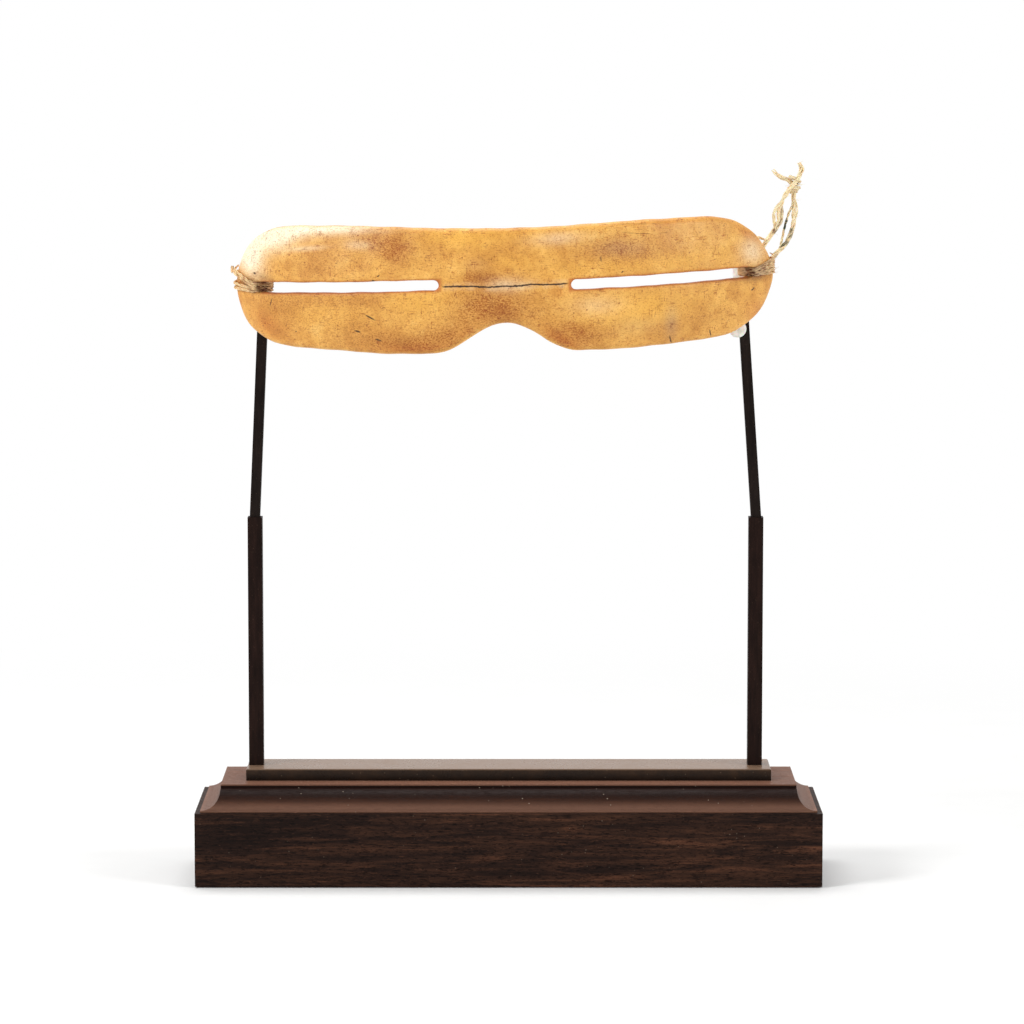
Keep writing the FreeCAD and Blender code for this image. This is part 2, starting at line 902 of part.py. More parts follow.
def add_derived(alias, number):
    """A cell for a size that follows from the driving ones."""
    row = len(SIZES) + len(derived) + 1
    derived.append(alias)
    sheet.set("A{}".format(row), alias.replace("_", " "))
    sheet.set("B{}".format(row), repr(number))
    sheet.setAlias("B{}".format(row), alias)


derived = []
for side in ("left", "right"):
    height = hook_height(side)
    add_derived(side + "_hook_height", height)
    doc.recompute()
    x = hook_place(side).value
    floor = size("hollow_depth").value - half_wall
    tube_width = size("hook_tube_diameter").value
    add_derived(side + "_hook_tip", reach_to_wall(side, x, height, tube_width, floor))
    x, height = pad_place(side)
    pad_width = size("pad_diameter").value
    reach = reach_to_wall(side, x.value, height.value, pad_width, -half_wall)
    add_derived(side + "_pad_tip", reach)
doc.recompute()

# The visor with its hollow back and eye slits


def make_visor():
    blank = visor_blank()
    hollowed = blank.cut(hollow_tool())
    shape = hollowed.cut(slit_tool("left")).cut(slit_tool("right"))
    solids = shape.Solids
    if len(solids) != 1:
        raise ValueError("the visor falls into {} solids".format(len(solids)))
    visor = doc.addObject("Part::Feature", "visor")
    visor.Label = "visor"
    on_visor(visor, solids[0])


# Sinew lashings round the strip of wall between each slit and the visor's end

LAST_RUN_SHARE = 0.7

# Heights of the strands over the middle of the slit's outer end: on the front, and on the back
FANS = {
    "left": ([5.2, 1.7, -0.6], [3.2, 0.8, -1.9]),
    "right": ([3.3, 0.9, -1.2], [1.6, -0.2, -2.1]),
}


class Strand:
    """A route round the end of the visor, given along the wall, out of it and up."""

    def __init__(self, side, middle):
        self.sign = -1 if side == "left" else 1
        self.middle = middle
        self.edges = []
        self.at = None
        self.way = None

    def spot(self, along, out, up):
        return wall_point(self.sign * along, out, self.middle + up)

    def direction(self, along, ahead, out):
        return wall_direction(self.sign * along, self.sign * ahead, out, 0)

    def start(self, spot, way):
        self.at = spot
        self.way = way
        self.first = (spot, way)

    def run(self, spot):
        """A straight run on to a spot, which the route already heads for."""
        self.edges.append(Part.makeLine(self.at, spot))
        self.at = spot

    def bend(self, spot, way):
        """Two arcs that turn the route to a new spot and direction."""
        self.edges += biarc(self.at, self.way, spot, way)
        self.at = spot
        self.way = way


def towards(start, end):
    return (end - start).normalize()


def make_lashing(side):
    """Three strands over the front, each through the slit, as one unbroken length of sinew."""
    diameter = size(side + "_sinew_diameter").value
    middle = slit_centre(side, slit_end)
    off = diameter / 2 + size("lashing_clearance").value
    face = half_wall + off
    near_end = wall_end - size("turn_inside_end").value
    end_face = half_thickness(near_end) + off
    step = diameter + size("lashing_step").value
    bend = size("lashing_bend").value
    spread = size("lashing_spread").value
    fronts, backs = FANS[side]
    columns = [0, 1, 0]
    heights = [spread, 0, -spread]
    strand = Strand(side, middle)
    for number, (front, back, column, height) in enumerate(zip(fronts, backs, columns, heights)):
        through = slit_end - off - column * step
        raised = face + column * step
        corner = strand.spot(through + bend, raised, height)
        if number == 0:
            past = wall_end + size("tail_past_end").value
            tail = strand.spot(past, half_wall + size("tail_off_face").value, front + size("tail_rise").value)
            strand.start(tail, towards(tail, corner))
        else:
            landing = strand.spot(near_end, end_face, front)
            strand.bend(landing, towards(landing, corner))
        strand.run(corner)
        strand.bend(strand.spot(through, raised - bend, height), strand.direction(through, 0, -1))
        strand.run(strand.spot(through, bend - raised, height))
        leaving = strand.spot(through + bend, -raised, height)
        landing = strand.spot(near_end, -end_face, back)
        strand.bend(leaving, towards(leaving, landing))
        if number == len(fronts) - 1:
            strand.run(leaving + (landing - leaving) * LAST_RUN_SHARE)
        else:
            strand.run(landing)
            level = (back + fronts[number + 1]) / 2
            outside = strand.spot(wall_end + off, 0, level)
            strand.bend(outside, strand.direction(wall_end, 0, 1))
    made = tube(strand.edges, strand.first[0], strand.first[1], diameter)
    length = sum(edge.Length for edge in strand.edges)
    section = math.pi * diameter**2 / 4
    gap = least_gap(strand.edges, diameter, 2.5 * diameter)
    print("{} lashing: length {:.1f}, volume over section {:.1f}".format(side, length, made.Volume / section))
    print("{} lashing: least gap to itself {:.2f}".format(side, gap))
    lashing = doc.addObject("Part::Feature", side + "_lashing")
    lashing.Label = side + "_lashing"
    on_visor(lashing, made)


# Remains of the strap: two cords from the right slit, knotted above the visor

STRAP_ROUTES = {
    "strap_cord_outer": [
        (64.5, 0.8, -4.4),
        (64.2, 0.9, -0.8),
        (65.6, 1.1, 2.4),
        (68.7, 1.0, 5.2),
        (71.2, 0.6, 8.0),
        (72.6, 0.0, 11.6),
        (72.7, -0.1, 15.2),
        (72.6, 0.2, 18.6),
        (73.1, 0.4, 21.6),
        (71.4, 0.3, 23.4),
        (69.0, -0.1, 24.1),
        (67.6, -0.3, 25.9),
    ],
    "strap_cord_inner": [
        (62.7, 0.8, -4.6),
        (62.5, 0.9, -0.6),
        (63.2, 0.8, 3.2),
        (64.8, 0.5, 6.8),
        (66.9, -0.1, 9.6),
        (69.0, -0.5, 12.4),
        (68.9, -0.9, 16.0),
        (70.2, -1.4, 19.2),
        (72.4, -1.7, 21.8),
        (74.1, -1.5, 24.1),
        (74.8, -1.3, 26.2),
        (74.1, -1.3, 27.6),
    ],
}
KNOT_MIDDLE = Vector(73.0, -0.65, 22.0)
ARC_SHARE = 0.45


def cord_edges(points):
    """Straight runs joined by arcs as large as the runs allow, and the arcs' radii."""
    edges = []
    radii = []
    at = points[0]
    for before, corner, after in zip(points, points[1:], points[2:]):
        arriving = towards(before, corner)
        leaving = towards(corner, after)
        half_turn = arriving.getAngle(leaving) / 2
        setback = ARC_SHARE * min((corner - before).Length, (after - corner).Length)
        radii.append(setback / math.tan(half_turn))
        start = corner - arriving * setback
        end = corner + leaving * setback
        edges.append(Part.makeLine(at, start))
        edges.append(arc_through(start, arc_rise(start, arriving, end), end))
        at = end
    edges.append(Part.makeLine(at, points[-1]))
    return edges, radii


def make_cord(name):
    diameter = size("strap_diameter").value
    points = [Vector(x, y, z) for x, y, z in STRAP_ROUTES[name]]
    edges, radii = cord_edges(points)
    made = tube(edges, points[0], towards(points[0], points[1]), diameter)
    length = sum(edge.Length for edge in edges)
    section = math.pi * diameter**2 / 4
    print("{}: length {:.1f}, volume over section {:.1f}".format(name, length, made.Volume / section))
    print("{}: radii {}".format(name, " ".join("{:.1f}".format(radius) for radius in radii)))
    cord = doc.addObject("Part::Feature", name)
    cord.Label = name
    on_visor(cord, made)


def make_knot():
    knot = doc.addObject("Part::Ellipsoid", "strap_knot")
    knot.Label = "strap_knot"
    bind(knot, Radius1=size("knot_height") / 2)
    bind(knot, Radius2=size("knot_width") / 2)
    bind(knot, Radius3=size("knot_depth") / 2)
    tilt = FreeCAD.Rotation(Vector(0, 1, 0), -size("visor_tilt").value)
    place = Vector(-size("visor_aside").value, 0, size("visor_height").value)
    knot.Placement = FreeCAD.Placement(place + tilt.multVec(KNOT_MIDDLE), tilt)


make_base()
make_felt()
make_plate()
make_screws()
for side in ("left", "right"):
    make_sleeve(side)
    make_bar(side)
    make_hook(side)
    make_rest_tube(side)
    make_pad(side)
make_visor()
make_lashing("left")
make_lashing("right")
make_cord("strap_cord_outer")
make_cord("strap_cord_inner")
make_knot()
doc.recompute()

# Files of the pieces, once every object is sound

PIECES = ["base_block", "base_felt", "post_plate", "plate_screws"]
for side in ("left", "right"):
    for piece in ("sleeve", "bar", "hook", "hook_tube", "rest_tube", "prong", "pad", "lashing"):
        PIECES.append("{}_{}".format(side, piece))
PIECES += ["visor", "strap_cord_outer", "strap_cord_inner", "strap_knot"]

for item in doc.Objects:
    if "Invalid" in item.State or "Error" in item.State:
        raise ValueError("{} is not sound: {}".format(item.Label, item.State))
pieces = {}
for name in PIECES:
    piece = doc.getObjectsByLabel(name)[0]
    if piece.Shape.isNull() or not piece.Shape.isValid():
        raise ValueError("{} has no sound shape".format(name))
    pieces[name] = piece
os.makedirs("parts", exist_ok=True)
for name, piece in pieces.items():
    piece.Shape.exportStep("parts/{}.step".format(name))
    box = piece.Shape.BoundBox
    print(
        "{:18s} volume {:10.1f}  x {:7.2f} {:7.2f}  y {:7.2f} {:7.2f}  z {:7.2f} {:7.2f}".format(
            name, piece.Shape.Volume, box.XMin, box.XMax, box.YMin, box.YMax, box.ZMin, box.ZMax
        )
    )
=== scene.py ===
"""Carved ivory snow goggles with sinew lashings and a knotted strap end, on a wooden display stand."""

import math
import random

import bmesh
import bpy
import numpy as np
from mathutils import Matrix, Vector


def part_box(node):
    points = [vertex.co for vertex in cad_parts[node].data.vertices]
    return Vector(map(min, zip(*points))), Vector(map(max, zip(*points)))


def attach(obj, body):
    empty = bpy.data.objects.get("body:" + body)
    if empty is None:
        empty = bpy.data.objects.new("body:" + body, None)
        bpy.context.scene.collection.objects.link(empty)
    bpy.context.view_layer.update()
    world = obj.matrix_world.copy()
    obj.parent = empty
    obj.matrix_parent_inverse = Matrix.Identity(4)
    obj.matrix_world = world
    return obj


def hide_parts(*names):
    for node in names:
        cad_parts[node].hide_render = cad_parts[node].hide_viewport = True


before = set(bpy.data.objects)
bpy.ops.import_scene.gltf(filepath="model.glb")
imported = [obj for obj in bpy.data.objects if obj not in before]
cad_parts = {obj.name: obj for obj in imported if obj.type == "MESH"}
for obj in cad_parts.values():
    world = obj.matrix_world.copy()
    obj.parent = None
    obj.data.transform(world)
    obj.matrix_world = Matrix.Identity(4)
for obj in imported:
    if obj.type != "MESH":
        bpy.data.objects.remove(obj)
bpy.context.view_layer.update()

MM = 0.001


# Place of the goggles: a wall bent along arcs, in millimetres, then tilted and lifted into the row frame

HALF_WALL = 2.5
FACE_RADIUS = 107.5
TEMPLE_RADIUS = 67.5
FACE_ANGLE = math.radians(16)
FACE_LENGTH = FACE_RADIUS * FACE_ANGLE
TEMPLE_CENTRE = (11.025, 37.05)
FACE_BACK = 75.5
WALL_END = 75.76
SLIT_END = 66.11
TILT = math.radians(1.3)
ASIDE = -0.9
SLIT_LINE = 151.4
LASHING_MIDDLE = {"left": 0.12, "right": 1.17}


def row_place(x, y, z):
    """A point of the goggles in the row frame, in metres."""
    across = ASIDE + x * math.cos(TILT) - z * math.sin(TILT)
    height = SLIT_LINE + x * math.sin(TILT) + z * math.cos(TILT)
    return Vector((across, y, height)) * MM


def wall_place(along, out, up):
    """A point given along the wall, out from its middle and up."""
    reach = abs(along)
    if reach <= FACE_LENGTH:
        angle = reach / FACE_RADIUS
        x = (FACE_RADIUS + out) * math.sin(angle)
        y = FACE_BACK - (FACE_RADIUS + out) * math.cos(angle)
    else:
        angle = FACE_ANGLE + (reach - FACE_LENGTH) / TEMPLE_RADIUS
        x = TEMPLE_CENTRE[0] + (TEMPLE_RADIUS + out) * math.sin(angle)
        y = TEMPLE_CENTRE[1] - (TEMPLE_RADIUS + out) * math.cos(angle)
    return row_place(math.copysign(x, along), y, up)


# Camera, lamps and meshes

CAMERA_PLACE = (0.00085, -1.13815, 0.22535)
CAMERA_LEAN = 0.116123
FOCAL_LENGTH = 159.58


def make_camera():
    """A level camera turned down a little, as the photograph was taken."""
    lens = bpy.data.cameras.new("camera")
    lens.sensor_width = 36
    lens.lens = FOCAL_LENGTH
    lens.clip_end = 10
    camera = bpy.data.objects.new("camera", lens)
    camera.location = CAMERA_PLACE
    camera.rotation_euler = (math.radians(90) - CAMERA_LEAN, 0, 0)
    bpy.context.collection.objects.link(camera)
    bpy.context.scene.camera = camera


def make_lamp(name, place, aim, size, power):
    """A soft lamp of this width and height that looks at a point."""
    light = bpy.data.lights.new(name, "AREA")
    light.shape = "RECTANGLE"
    light.size, light.size_y = size
    light.energy = power
    lamp = bpy.data.objects.new(name, light)
    lamp.location = place
    lamp.rotation_euler = (Vector(aim) - Vector(place)).to_track_quat("-Z", "Y").to_euler()
    bpy.context.collection.objects.link(lamp)


def add_object(name, mesh):
    made = bpy.data.objects.new(name, mesh)
    bpy.context.collection.objects.link(made)
    return made


def finished_piece(name, mesh, material):
    """An object made of loose mesh data, smooth and in its material."""
    data = bpy.data.meshes.new(name)
    mesh.to_mesh(data)
    mesh.free()
    for face in data.polygons:
        face.use_smooth = True
    data.materials.append(material)
    return add_object(name, data)


def around(spot, side, up, reach, angle):
    """A point beside another one, at an angle between two sideways directions."""
    return spot + side * (reach * math.cos(angle)) + up * (reach * math.sin(angle))


def join_rings(mesh, rings):
    """Faces from each ring of points to the next."""
    for before, after in zip(rings, rings[1:]):
        for corner in range(len(before)):
            turned = (corner + 1) % len(before)
            mesh.faces.new((before[corner], before[turned], after[turned], after[corner]))


# Sums on node sockets


class Signal:
    """A socket's value in sums: numbers go through Math, colours through Mix and places through Vector Math."""

    def __init__(self, nodes, socket):
        self.nodes = nodes
        self.socket = socket

    def sum(self, operation, *values):
        if self.socket.type == "VECTOR":
            return self.nodes.node("ShaderNodeVectorMath", {"operation": operation}, *values)
        return self.nodes.node("ShaderNodeMath", {"operation": operation}, *values)

    def __add__(self, other):
        return self.sum("ADD", self, other)

    def __radd__(self, other):
        return self.sum("ADD", other, self)

    def __sub__(self, other):
        return self.sum("SUBTRACT", self, other)

    def __rsub__(self, other):
        return self.sum("SUBTRACT", other, self)

    def __mul__(self, other):
        return self.sum("MULTIPLY", self, other)

    def __rmul__(self, other):
        return self.sum("MULTIPLY", other, self)

    def __truediv__(self, other):
        return self.sum("DIVIDE", self, other)

    def __rtruediv__(self, other):
        return self.sum("DIVIDE", other, self)

    def size(self):
        """The value without its sign."""
        return self.sum("ABSOLUTE", self)

    def over(self, low, high):
        """0 below low and 1 above high, with a soft step between; turned round where low is the larger."""
        values = {"Value": self, "From Min": min(low, high), "From Max": max(low, high)}
        if low > high:
            values.update({"To Min": 1.0, "To Max": 0.0})
        return self.nodes.node("ShaderNodeMapRange", {"interpolation_type": "SMOOTHSTEP"}, **values)

    def tinted(self, share, colour):
        """This colour turned towards another by a share."""
        values = {"Factor": share, "A": self, "B": colour}
        return self.nodes.node("ShaderNodeMix", {"data_type": "RGBA", "clamp_factor": True}, **values)

    def shaded(self, share, colour):
        """This colour multiplied by another, by a share."""
        settings = {"data_type": "RGBA", "blend_type": "MULTIPLY", "clamp_factor": True}
        return self.nodes.node("ShaderNodeMix", settings, Factor=share, A=self, B=colour)


class Nodes:
    """A node tree in which a material or the room's light is made."""

    def __init__(self, tree):
        self.tree = tree

    def node(self, kind, settings=None, *values, give=None, **named):
        """A node with its settings first and then its sockets' values or links; gives one output."""
        made = self.tree.nodes.new(kind)
        for setting, value in (settings or {}).items():
            if setting == "stops":
                self.set_stops(made.color_ramp, value)
            elif setting == "curve":
                self.set_curve(made.mapping, value)
            else:
                setattr(made, setting, value)
        inputs = [socket for socket in made.inputs if socket.enabled]
        for socket, value in list(zip(inputs, values)) + [(self.pick(inputs, n), v) for n, v in named.items()]:
            self.feed(socket, value)
        outputs = [socket for socket in made.outputs if socket.enabled]
        return Signal(self, self.pick(outputs, give) if give else outputs[0])

    def pick(self, sockets, name):
        return [socket for socket in sockets if socket.name == name][0]

    def feed(self, socket, value):
        if isinstance(value, Signal):
            self.tree.links.new(value.socket, socket)
        elif socket.type == "RGBA":
            socket.default_value = (*value, 1.0)
        else:
            socket.default_value = value

    def set_stops(self, ramp, stops):
        for number, (place, colour) in enumerate(stops):
            stop = ramp.elements[number] if number < 2 else ramp.elements.new(place)
            stop.position = place
            stop.color = (*colour, 1.0)

    def set_curve(self, mapping, points):
        line = mapping.curves[0].points
        line[0].location = points[0]
        line[1].location = points[-1]
        for point in points[1:-1]:
            line.new(*point)
        mapping.update()

    def place(self):
        """The place on the piece in millimetres."""
        return self.node("ShaderNodeTexCoord", give="Object") * (1000, 1000, 1000)

    def parts(self, vector):
        """The three numbers of a place."""
        split = self.node("ShaderNodeSeparateXYZ", None, vector)
        return [Signal(self, socket) for socket in split.socket.node.outputs]

    def painted(self, name):
        """A number stored at the mesh's points."""
        return self.node("ShaderNodeAttribute", {"attribute_name": name}, give="Fac")

    def noise(self, place, scale, detail=3.0, rough=0.55, bend=0.0):
        values = {"Vector": place, "Scale": scale, "Detail": detail, "Roughness": rough, "Distortion": bend}
        return self.node("ShaderNodeTexNoise", None, **values)

    def cells(self, place, scale, give="Distance"):
        return self.node("ShaderNodeTexVoronoi", None, Vector=place, Scale=scale, give=give)

    def ramp(self, value, stops):
        return self.node("ShaderNodeValToRGB", {"stops": stops}, value)


class Finish(Nodes):
    """A material in the making; its fixed values are set on the shader's own sockets."""

    def __init__(self, name, **fixed):
        self.material = bpy.data.materials.new(name)
        self.material.use_nodes = True
        super().__init__(self.material.node_tree)
        self.shader = self.tree.nodes["Principled BSDF"]
        for socket, value in fixed.items():
            self.shader.inputs[socket.replace("_", " ")].default_value = value

    def wear(self, **sockets):
        """Feeds the shader's own sockets."""
        for name, value in sockets.items():
            self.feed(self.shader.inputs[name.replace("_", " ")], value)

    def relief(self, height, depth, strength=1.0):
        """Bumps of this depth in metres."""
        bump = self.node("ShaderNodeBump", None, Strength=strength, Distance=depth, Height=height, give="Normal")
        self.feed(self.shader.inputs["Normal"], bump)


def srgb(red, green, blue):
    """A colour given as it is seen, from 0 to 255."""
    return tuple(((v / 255 + 0.055) / 1.055) ** 2.4 if v > 10 else v / 255 / 12.92 for v in (red, green, blue))


# Ivory


def line_mark(finish, across, height, points, width):
    """A thin line through (x, z) points in millimetres."""
    xs = [x for x, _ in points]
    zs = [z for _, z in points]
    low, high = min(zs) - 1, max(zs) + 1
    span = xs[-1] - xs[0]
    curve = [((x - xs[0]) / span, (z - low) / (high - low)) for x, z in points]
    run = (across - xs[0]) / span
    level = finish.node("ShaderNodeFloatCurve", {"curve": curve}, Value=run) * (high - low) + low
    ends = run.over(-0.01, 0.03) * run.over(1.01, 0.97)
    return (height - level).size().over(width, width * 0.3) * ends


def stroke_mark(across, height, start, end, width):
    """A short pointed scratch from one (x, z) to another."""
    length = math.dist(start, end)
    way = ((end[0] - start[0]) / length, (end[1] - start[1]) / length)
    middle = ((start[0] + end[0]) / 2, (start[1] + end[1]) / 2)
    ahead = ((across - middle[0]) * way[0] + (height - middle[1]) * way[1]) / (length / 2)
    aside = ((height - middle[1]) * way[0] - (across - middle[0]) * way[1]) / (width / 2)
    return (ahead * ahead + aside * aside).over(1.1, 0.4)


# Places as (x, z) in millimetres on the front of the goggles
CRACK = [
    (-16.2, 151.7), (-9.4, 151.85), (-5, 151.7), (-2.1, 151.85), (2.8, 152.0), (5.4, 152.35), (9, 152.3), (14.6, 152.5),
]
TOP_HAIRLINE = [(-3, 166.0), (5.2, 166.6), (13, 166.8), (19.8, 166.7), (32.1, 166.75), (38, 166.6)]
LOW_HAIRLINE = [(28, 164.7), (33, 164.4), (39, 164.5)]
SCRATCHES = [
    ((-35.3, 144.6), (-32.3, 143.1), 0.45),
    ((-37.9, 140.6), (-36.2, 140.2), 0.5),
    ((-32.7, 138.6), (-30.9, 138.1), 0.45),
    ((-33.5, 153.1), (-32.6, 152.7), 0.5),
    ((-32.2, 153.8), (-31.5, 154.4), 0.4),
    ((-63.5, 153.8), (-62.8, 153.4), 0.6),
    ((-52.7, 139.8), (-52.3, 139.6), 0.4),
    ((60.3, 149.3), (61.2, 150.1), 0.5),
    ((39.5, 139.4), (40.1, 136.9), 0.4),
    ((49.6, 140.4), (50.1, 138.3), 0.35),
    ((-59.2, 145.5), (-58.5, 147.9), 0.22),
    ((12.7, 166.9), (11.8, 167.7), 0.4),
    ((22.6, 157.6), (22.5, 159.2), 0.25),
    ((27.5, 154.9), (28.2, 155.5), 0.3),
    ((3.8, 142.2), (4.3, 139.6), 0.2),
]
# Kinds of speck, as (cells to the millimetre, size, how rare, how dark)
SPECKS = [(0.8, 0.16, 0.6, 0.7), (1.7, 0.2, 0.66, 0.6), (0.36, 0.1, 0.72, 0.85)]


def ivory_finish():
    """Golden ivory with a stained mottle, fine speckle, scratches and the long crack between the slits, with a painted
    highlight on the upper left, painted orange glow along its thin edges and painted glow and shade at the slit rims.
    """
    finish = Finish("ivory", Specular_IOR_Level=0.4, Subsurface_Weight=0.08, Subsurface_Scale=0.0025)
    finish.shader.inputs["Subsurface Radius"].default_value = (1.0, 0.45, 0.18)
    place = finish.place()
    across, _, height = finish.parts(place)
    front = finish.painted("front")
    mottle = finish.noise(place, 0.085, 4.0, 0.6, 0.6)
    cloud = finish.noise(place + (31, 7, 5), 0.3, 4.0, 0.6)
    grain = finish.noise(place * (1.0, 1.0, 1.5), 2.1, 4.0, 0.75)
    colour = finish.ramp(
        mottle * 0.55 + cloud * 0.45,
        [
            (0.3, srgb(196, 134, 56)), (0.45, srgb(220, 160, 74)),
            (0.58, srgb(238, 183, 92)), (0.72, srgb(249, 207, 120)),
        ],
    )
    colour = colour.tinted(finish.painted("golden") * 0.6, srgb(247, 190, 78))
    mottled = 0.25 + grain.over(0.4, 0.6) * 0.6 + cloud.over(0.4, 0.6) * 0.3
    colour = colour.shaded(finish.painted("stained") * mottled, srgb(188, 144, 98))
    # Painted glow: orange-red along the thin edges where light shines through, partly reddened tone.
    colour = colour.shaded(finish.painted("reddened") * (0.4 + cloud * 0.7), srgb(226, 176, 116))
    colour = colour.tinted(finish.painted("greyed") * 0.6, srgb(170, 150, 128))
    # Painted highlight: pale cream on the upper left where the light falls, partly paler tone elsewhere.
    colour = colour.tinted(finish.painted("paled") * (0.75 + cloud * 0.6), srgb(255, 243, 212))
    colour = colour.shaded(grain.over(0.5, 0.66) * 0.7, srgb(205, 150, 92))
    ridges = (finish.noise(place, 0.75, 2.0, 0.5, 1.6) - 0.5).size().over(0.012, 0.002)
    worn = finish.noise(place + (4, 9, 2), 0.45, 2.0).over(0.52, 0.62)
    colour = colour.shaded(ridges * worn * 0.6, srgb(160, 76, 22))
    streaks = finish.noise(place * (0.35, 0.35, 2.2) + (3, 1, 8), 1.5, 3.0, 0.6).over(0.55, 0.66)
    slants = finish.noise((place + (0, 0, 5)) * (2.4, 2.4, 0.5), 1.3, 3.0, 0.6).over(0.56, 0.68)
    colour = colour.shaded((streaks + slants) * (0.25 + worn * 0.75) * 0.6, srgb(174, 98, 36))
    for scale, size, rarity, depth in SPECKS:
        dots = finish.cells(place, scale).over(size, size * 0.35)
        picked = finish.parts(finish.cells(place, scale, "Color"))[0].over(rarity - 0.02, rarity)
        colour = colour.shaded(dots * picked * depth, srgb(160, 72, 14))
    scratched = stroke_mark(across, height, *SCRATCHES[0])
    for scratch in SCRATCHES[1:]:
        scratched = scratched + stroke_mark(across, height, *scratch)
    scratched = scratched * front * finish.noise(place, 2.5, 2.0).over(0.3, 0.45)
    colour = colour.shaded(scratched * 0.9, srgb(62, 34, 26))
    halo = line_mark(finish, across, height, CRACK, 1.5) * front
    colour = colour.tinted(halo * cloud.over(0.35, 0.65) * 0.3, srgb(240, 214, 172))
    wander = (finish.noise(place, 1.1, 3.0, 0.6) - 0.5) * 0.5
    crack = line_mark(finish, across, height + wander, CRACK, 0.27) * (0.4 + front * 0.6)
    hairline = line_mark(finish, across, height + wander * 0.6, TOP_HAIRLINE, 0.12) * front
    short_line = line_mark(finish, across, height + wander * 0.6, LOW_HAIRLINE, 0.1) * front
    fine = (hairline + short_line) * finish.noise(place, 0.5).over(0.35, 0.55)
    colour = colour.shaded(fine * 0.8, srgb(130, 84, 60))
    colour = colour.shaded(crack, srgb(48, 36, 40))
    # Painted glow and shade: darker orange along the rims of the slits.
    colour = colour.shaded(finish.painted("slit_rim") * 0.7, srgb(196, 112, 54))
    # Darker patches at the outer ends of the slits, beside the lashings.
    colour = colour.shaded(finish.painted("sooted") * (0.5 + grain * 0.8), srgb(120, 72, 48))
    finish.wear(Base_Color=colour, Roughness=0.34 + grain * 0.22 + worn * 0.06)
    pits = grain * 0.25 + cloud * 0.4 - crack * 1.4 - scratched * 0.9 - ridges * worn * 0.3 - fine * 0.6
    finish.relief(pits, 0.00022, 0.6)
    return finish.material


# Large tints, among them a painted highlight and painted glow, as (x, z, half width, half height, turn in degrees,
# strength) on the front of the goggles
TINTS_AND_PAINTED_LIGHT = {
    "stained": [
        (-30, 162.5, 11, 4, -8, 1.0), (-28, 159.5, 6, 3, -20, 0.9), (-46, 157.5, 12, 5, 5, 0.45),
        (-56, 146.5, 8, 6, -30, 0.5), (-38, 148, 14, 2.4, 2, 0.55), (-6.9, 153.9, 6, 1.8, 0, 1.0),
        (-6.5, 147, 9, 5, 10, 1.0), (26, 160.5, 11, 4.5, 0, 0.8), (20, 141, 9, 3, -15, 0.5),
        (12.6, 138.7, 6, 2.4, -25, 0.7), (-17, 139, 9, 4, 20, 1.0), (-30, 137.5, 14, 2.6, 0, 0.6),
        (-40, 142, 18, 6, 0, 0.35), (38, 160, 12, 3, 4, 0.35), (48, 143, 9, 4, 10, 0.3), (2, 145, 11, 5, 0, 0.6),
        (17, 140, 7, 3, -25, 0.6),
    ],
    "paled": [
        (-57, 164, 10, 4.2, 26, 1.3), (-44, 166.4, 16, 2.6, 4, 1.3), (-65, 158.5, 4, 7, 20, 1.2),
        (-37, 161.5, 4, 1.5, 0, 0.3), (-50, 160.3, 6, 0.8, 6, 0.35), (0, 152.2, 6, 2.2, 0, 0.3),
        (12, 163.5, 8, 2, 4, 0.3), (60.5, 159, 4, 3.5, -50, 0.5), (22, 147, 8, 3, 0, 0.2),
        (-2, 135.8, 9, 0.9, 0, 0.3),
    ],
    "golden": [
        (-12, 163.5, 13, 3, -2, 0.7), (10, 165.5, 18, 2, 3, 0.5), (30, 146, 18, 5, 5, 1.0), (30, 157, 24, 3, 4, 0.6),
        (42, 153.5, 12, 2, 5, 0.5), (-22, 148, 10, 4, 0, 0.6), (-45, 144, 14, 4, 0, 0.4),
        (46, 158, 12, 3, 4, 0.45), (0, 158, 8, 3, 0, 0.3),
    ],
    "reddened": [
        (-24, 136, 14, 1.6, 4, 0.8), (14, 138, 8, 2.2, -32, 0.8), (30, 134.8, 16, 1.3, 4, 0.5),
        (-60, 141, 7, 3.4, -40, 0.7), (62, 143.5, 3.5, 5, 20, 0.55), (44, 167.6, 16, 1.2, 3, 0.7),
        (59, 163.5, 6, 1.6, -38, 0.7), (-67.5, 146.5, 1.6, 6, 0, 0.7), (-10, 140.5, 5, 2, 25, 0.5),
        (12, 150.5, 4, 1.6, 0, 0.4),
    ],
    "greyed": [
        (40, 142.5, 2.2, 5.5, 0, 0.5), (27, 161, 8, 3, 0, 0.35), (31, 142, 8, 3, 0, 0.25), (-8, 157, 4, 2, 0, 0.2),
    ],
    "sooted": [
        (-64, 150.8, 4.6, 1.7, -18, 0.9), (-60.6, 152.6, 3, 1.2, -14, 0.5), (62, 153.2, 5, 1.9, 10, 0.9),
        (58.8, 154.4, 3, 1.2, 8, 0.5),
    ],
}
# Inner and outer end of each slit's middle line, in the goggles' own frame
SLIT_ENDS = [((-15.9, 1.0), (-60.1, 0.1)), ((15.9, 0.4), (60.1, 1.2))]
HALF_SLIT = 1.25
SLIT_GLOW_FADE = 0.45


def read_points(mesh, what):
    """The places or the normals of a mesh's points, in rows of three."""
    values = np.empty(len(mesh.vertices) * 3)
    mesh.vertices.foreach_get(what, values)
    return values.reshape(-1, 3)


def store(mesh, name, values):
    """Keeps a number at each point of a mesh, for the finish to read."""
    layer = mesh.attributes.new(name, "FLOAT", "POINT")
    layer.data.foreach_set("value", values.astype(np.float32))


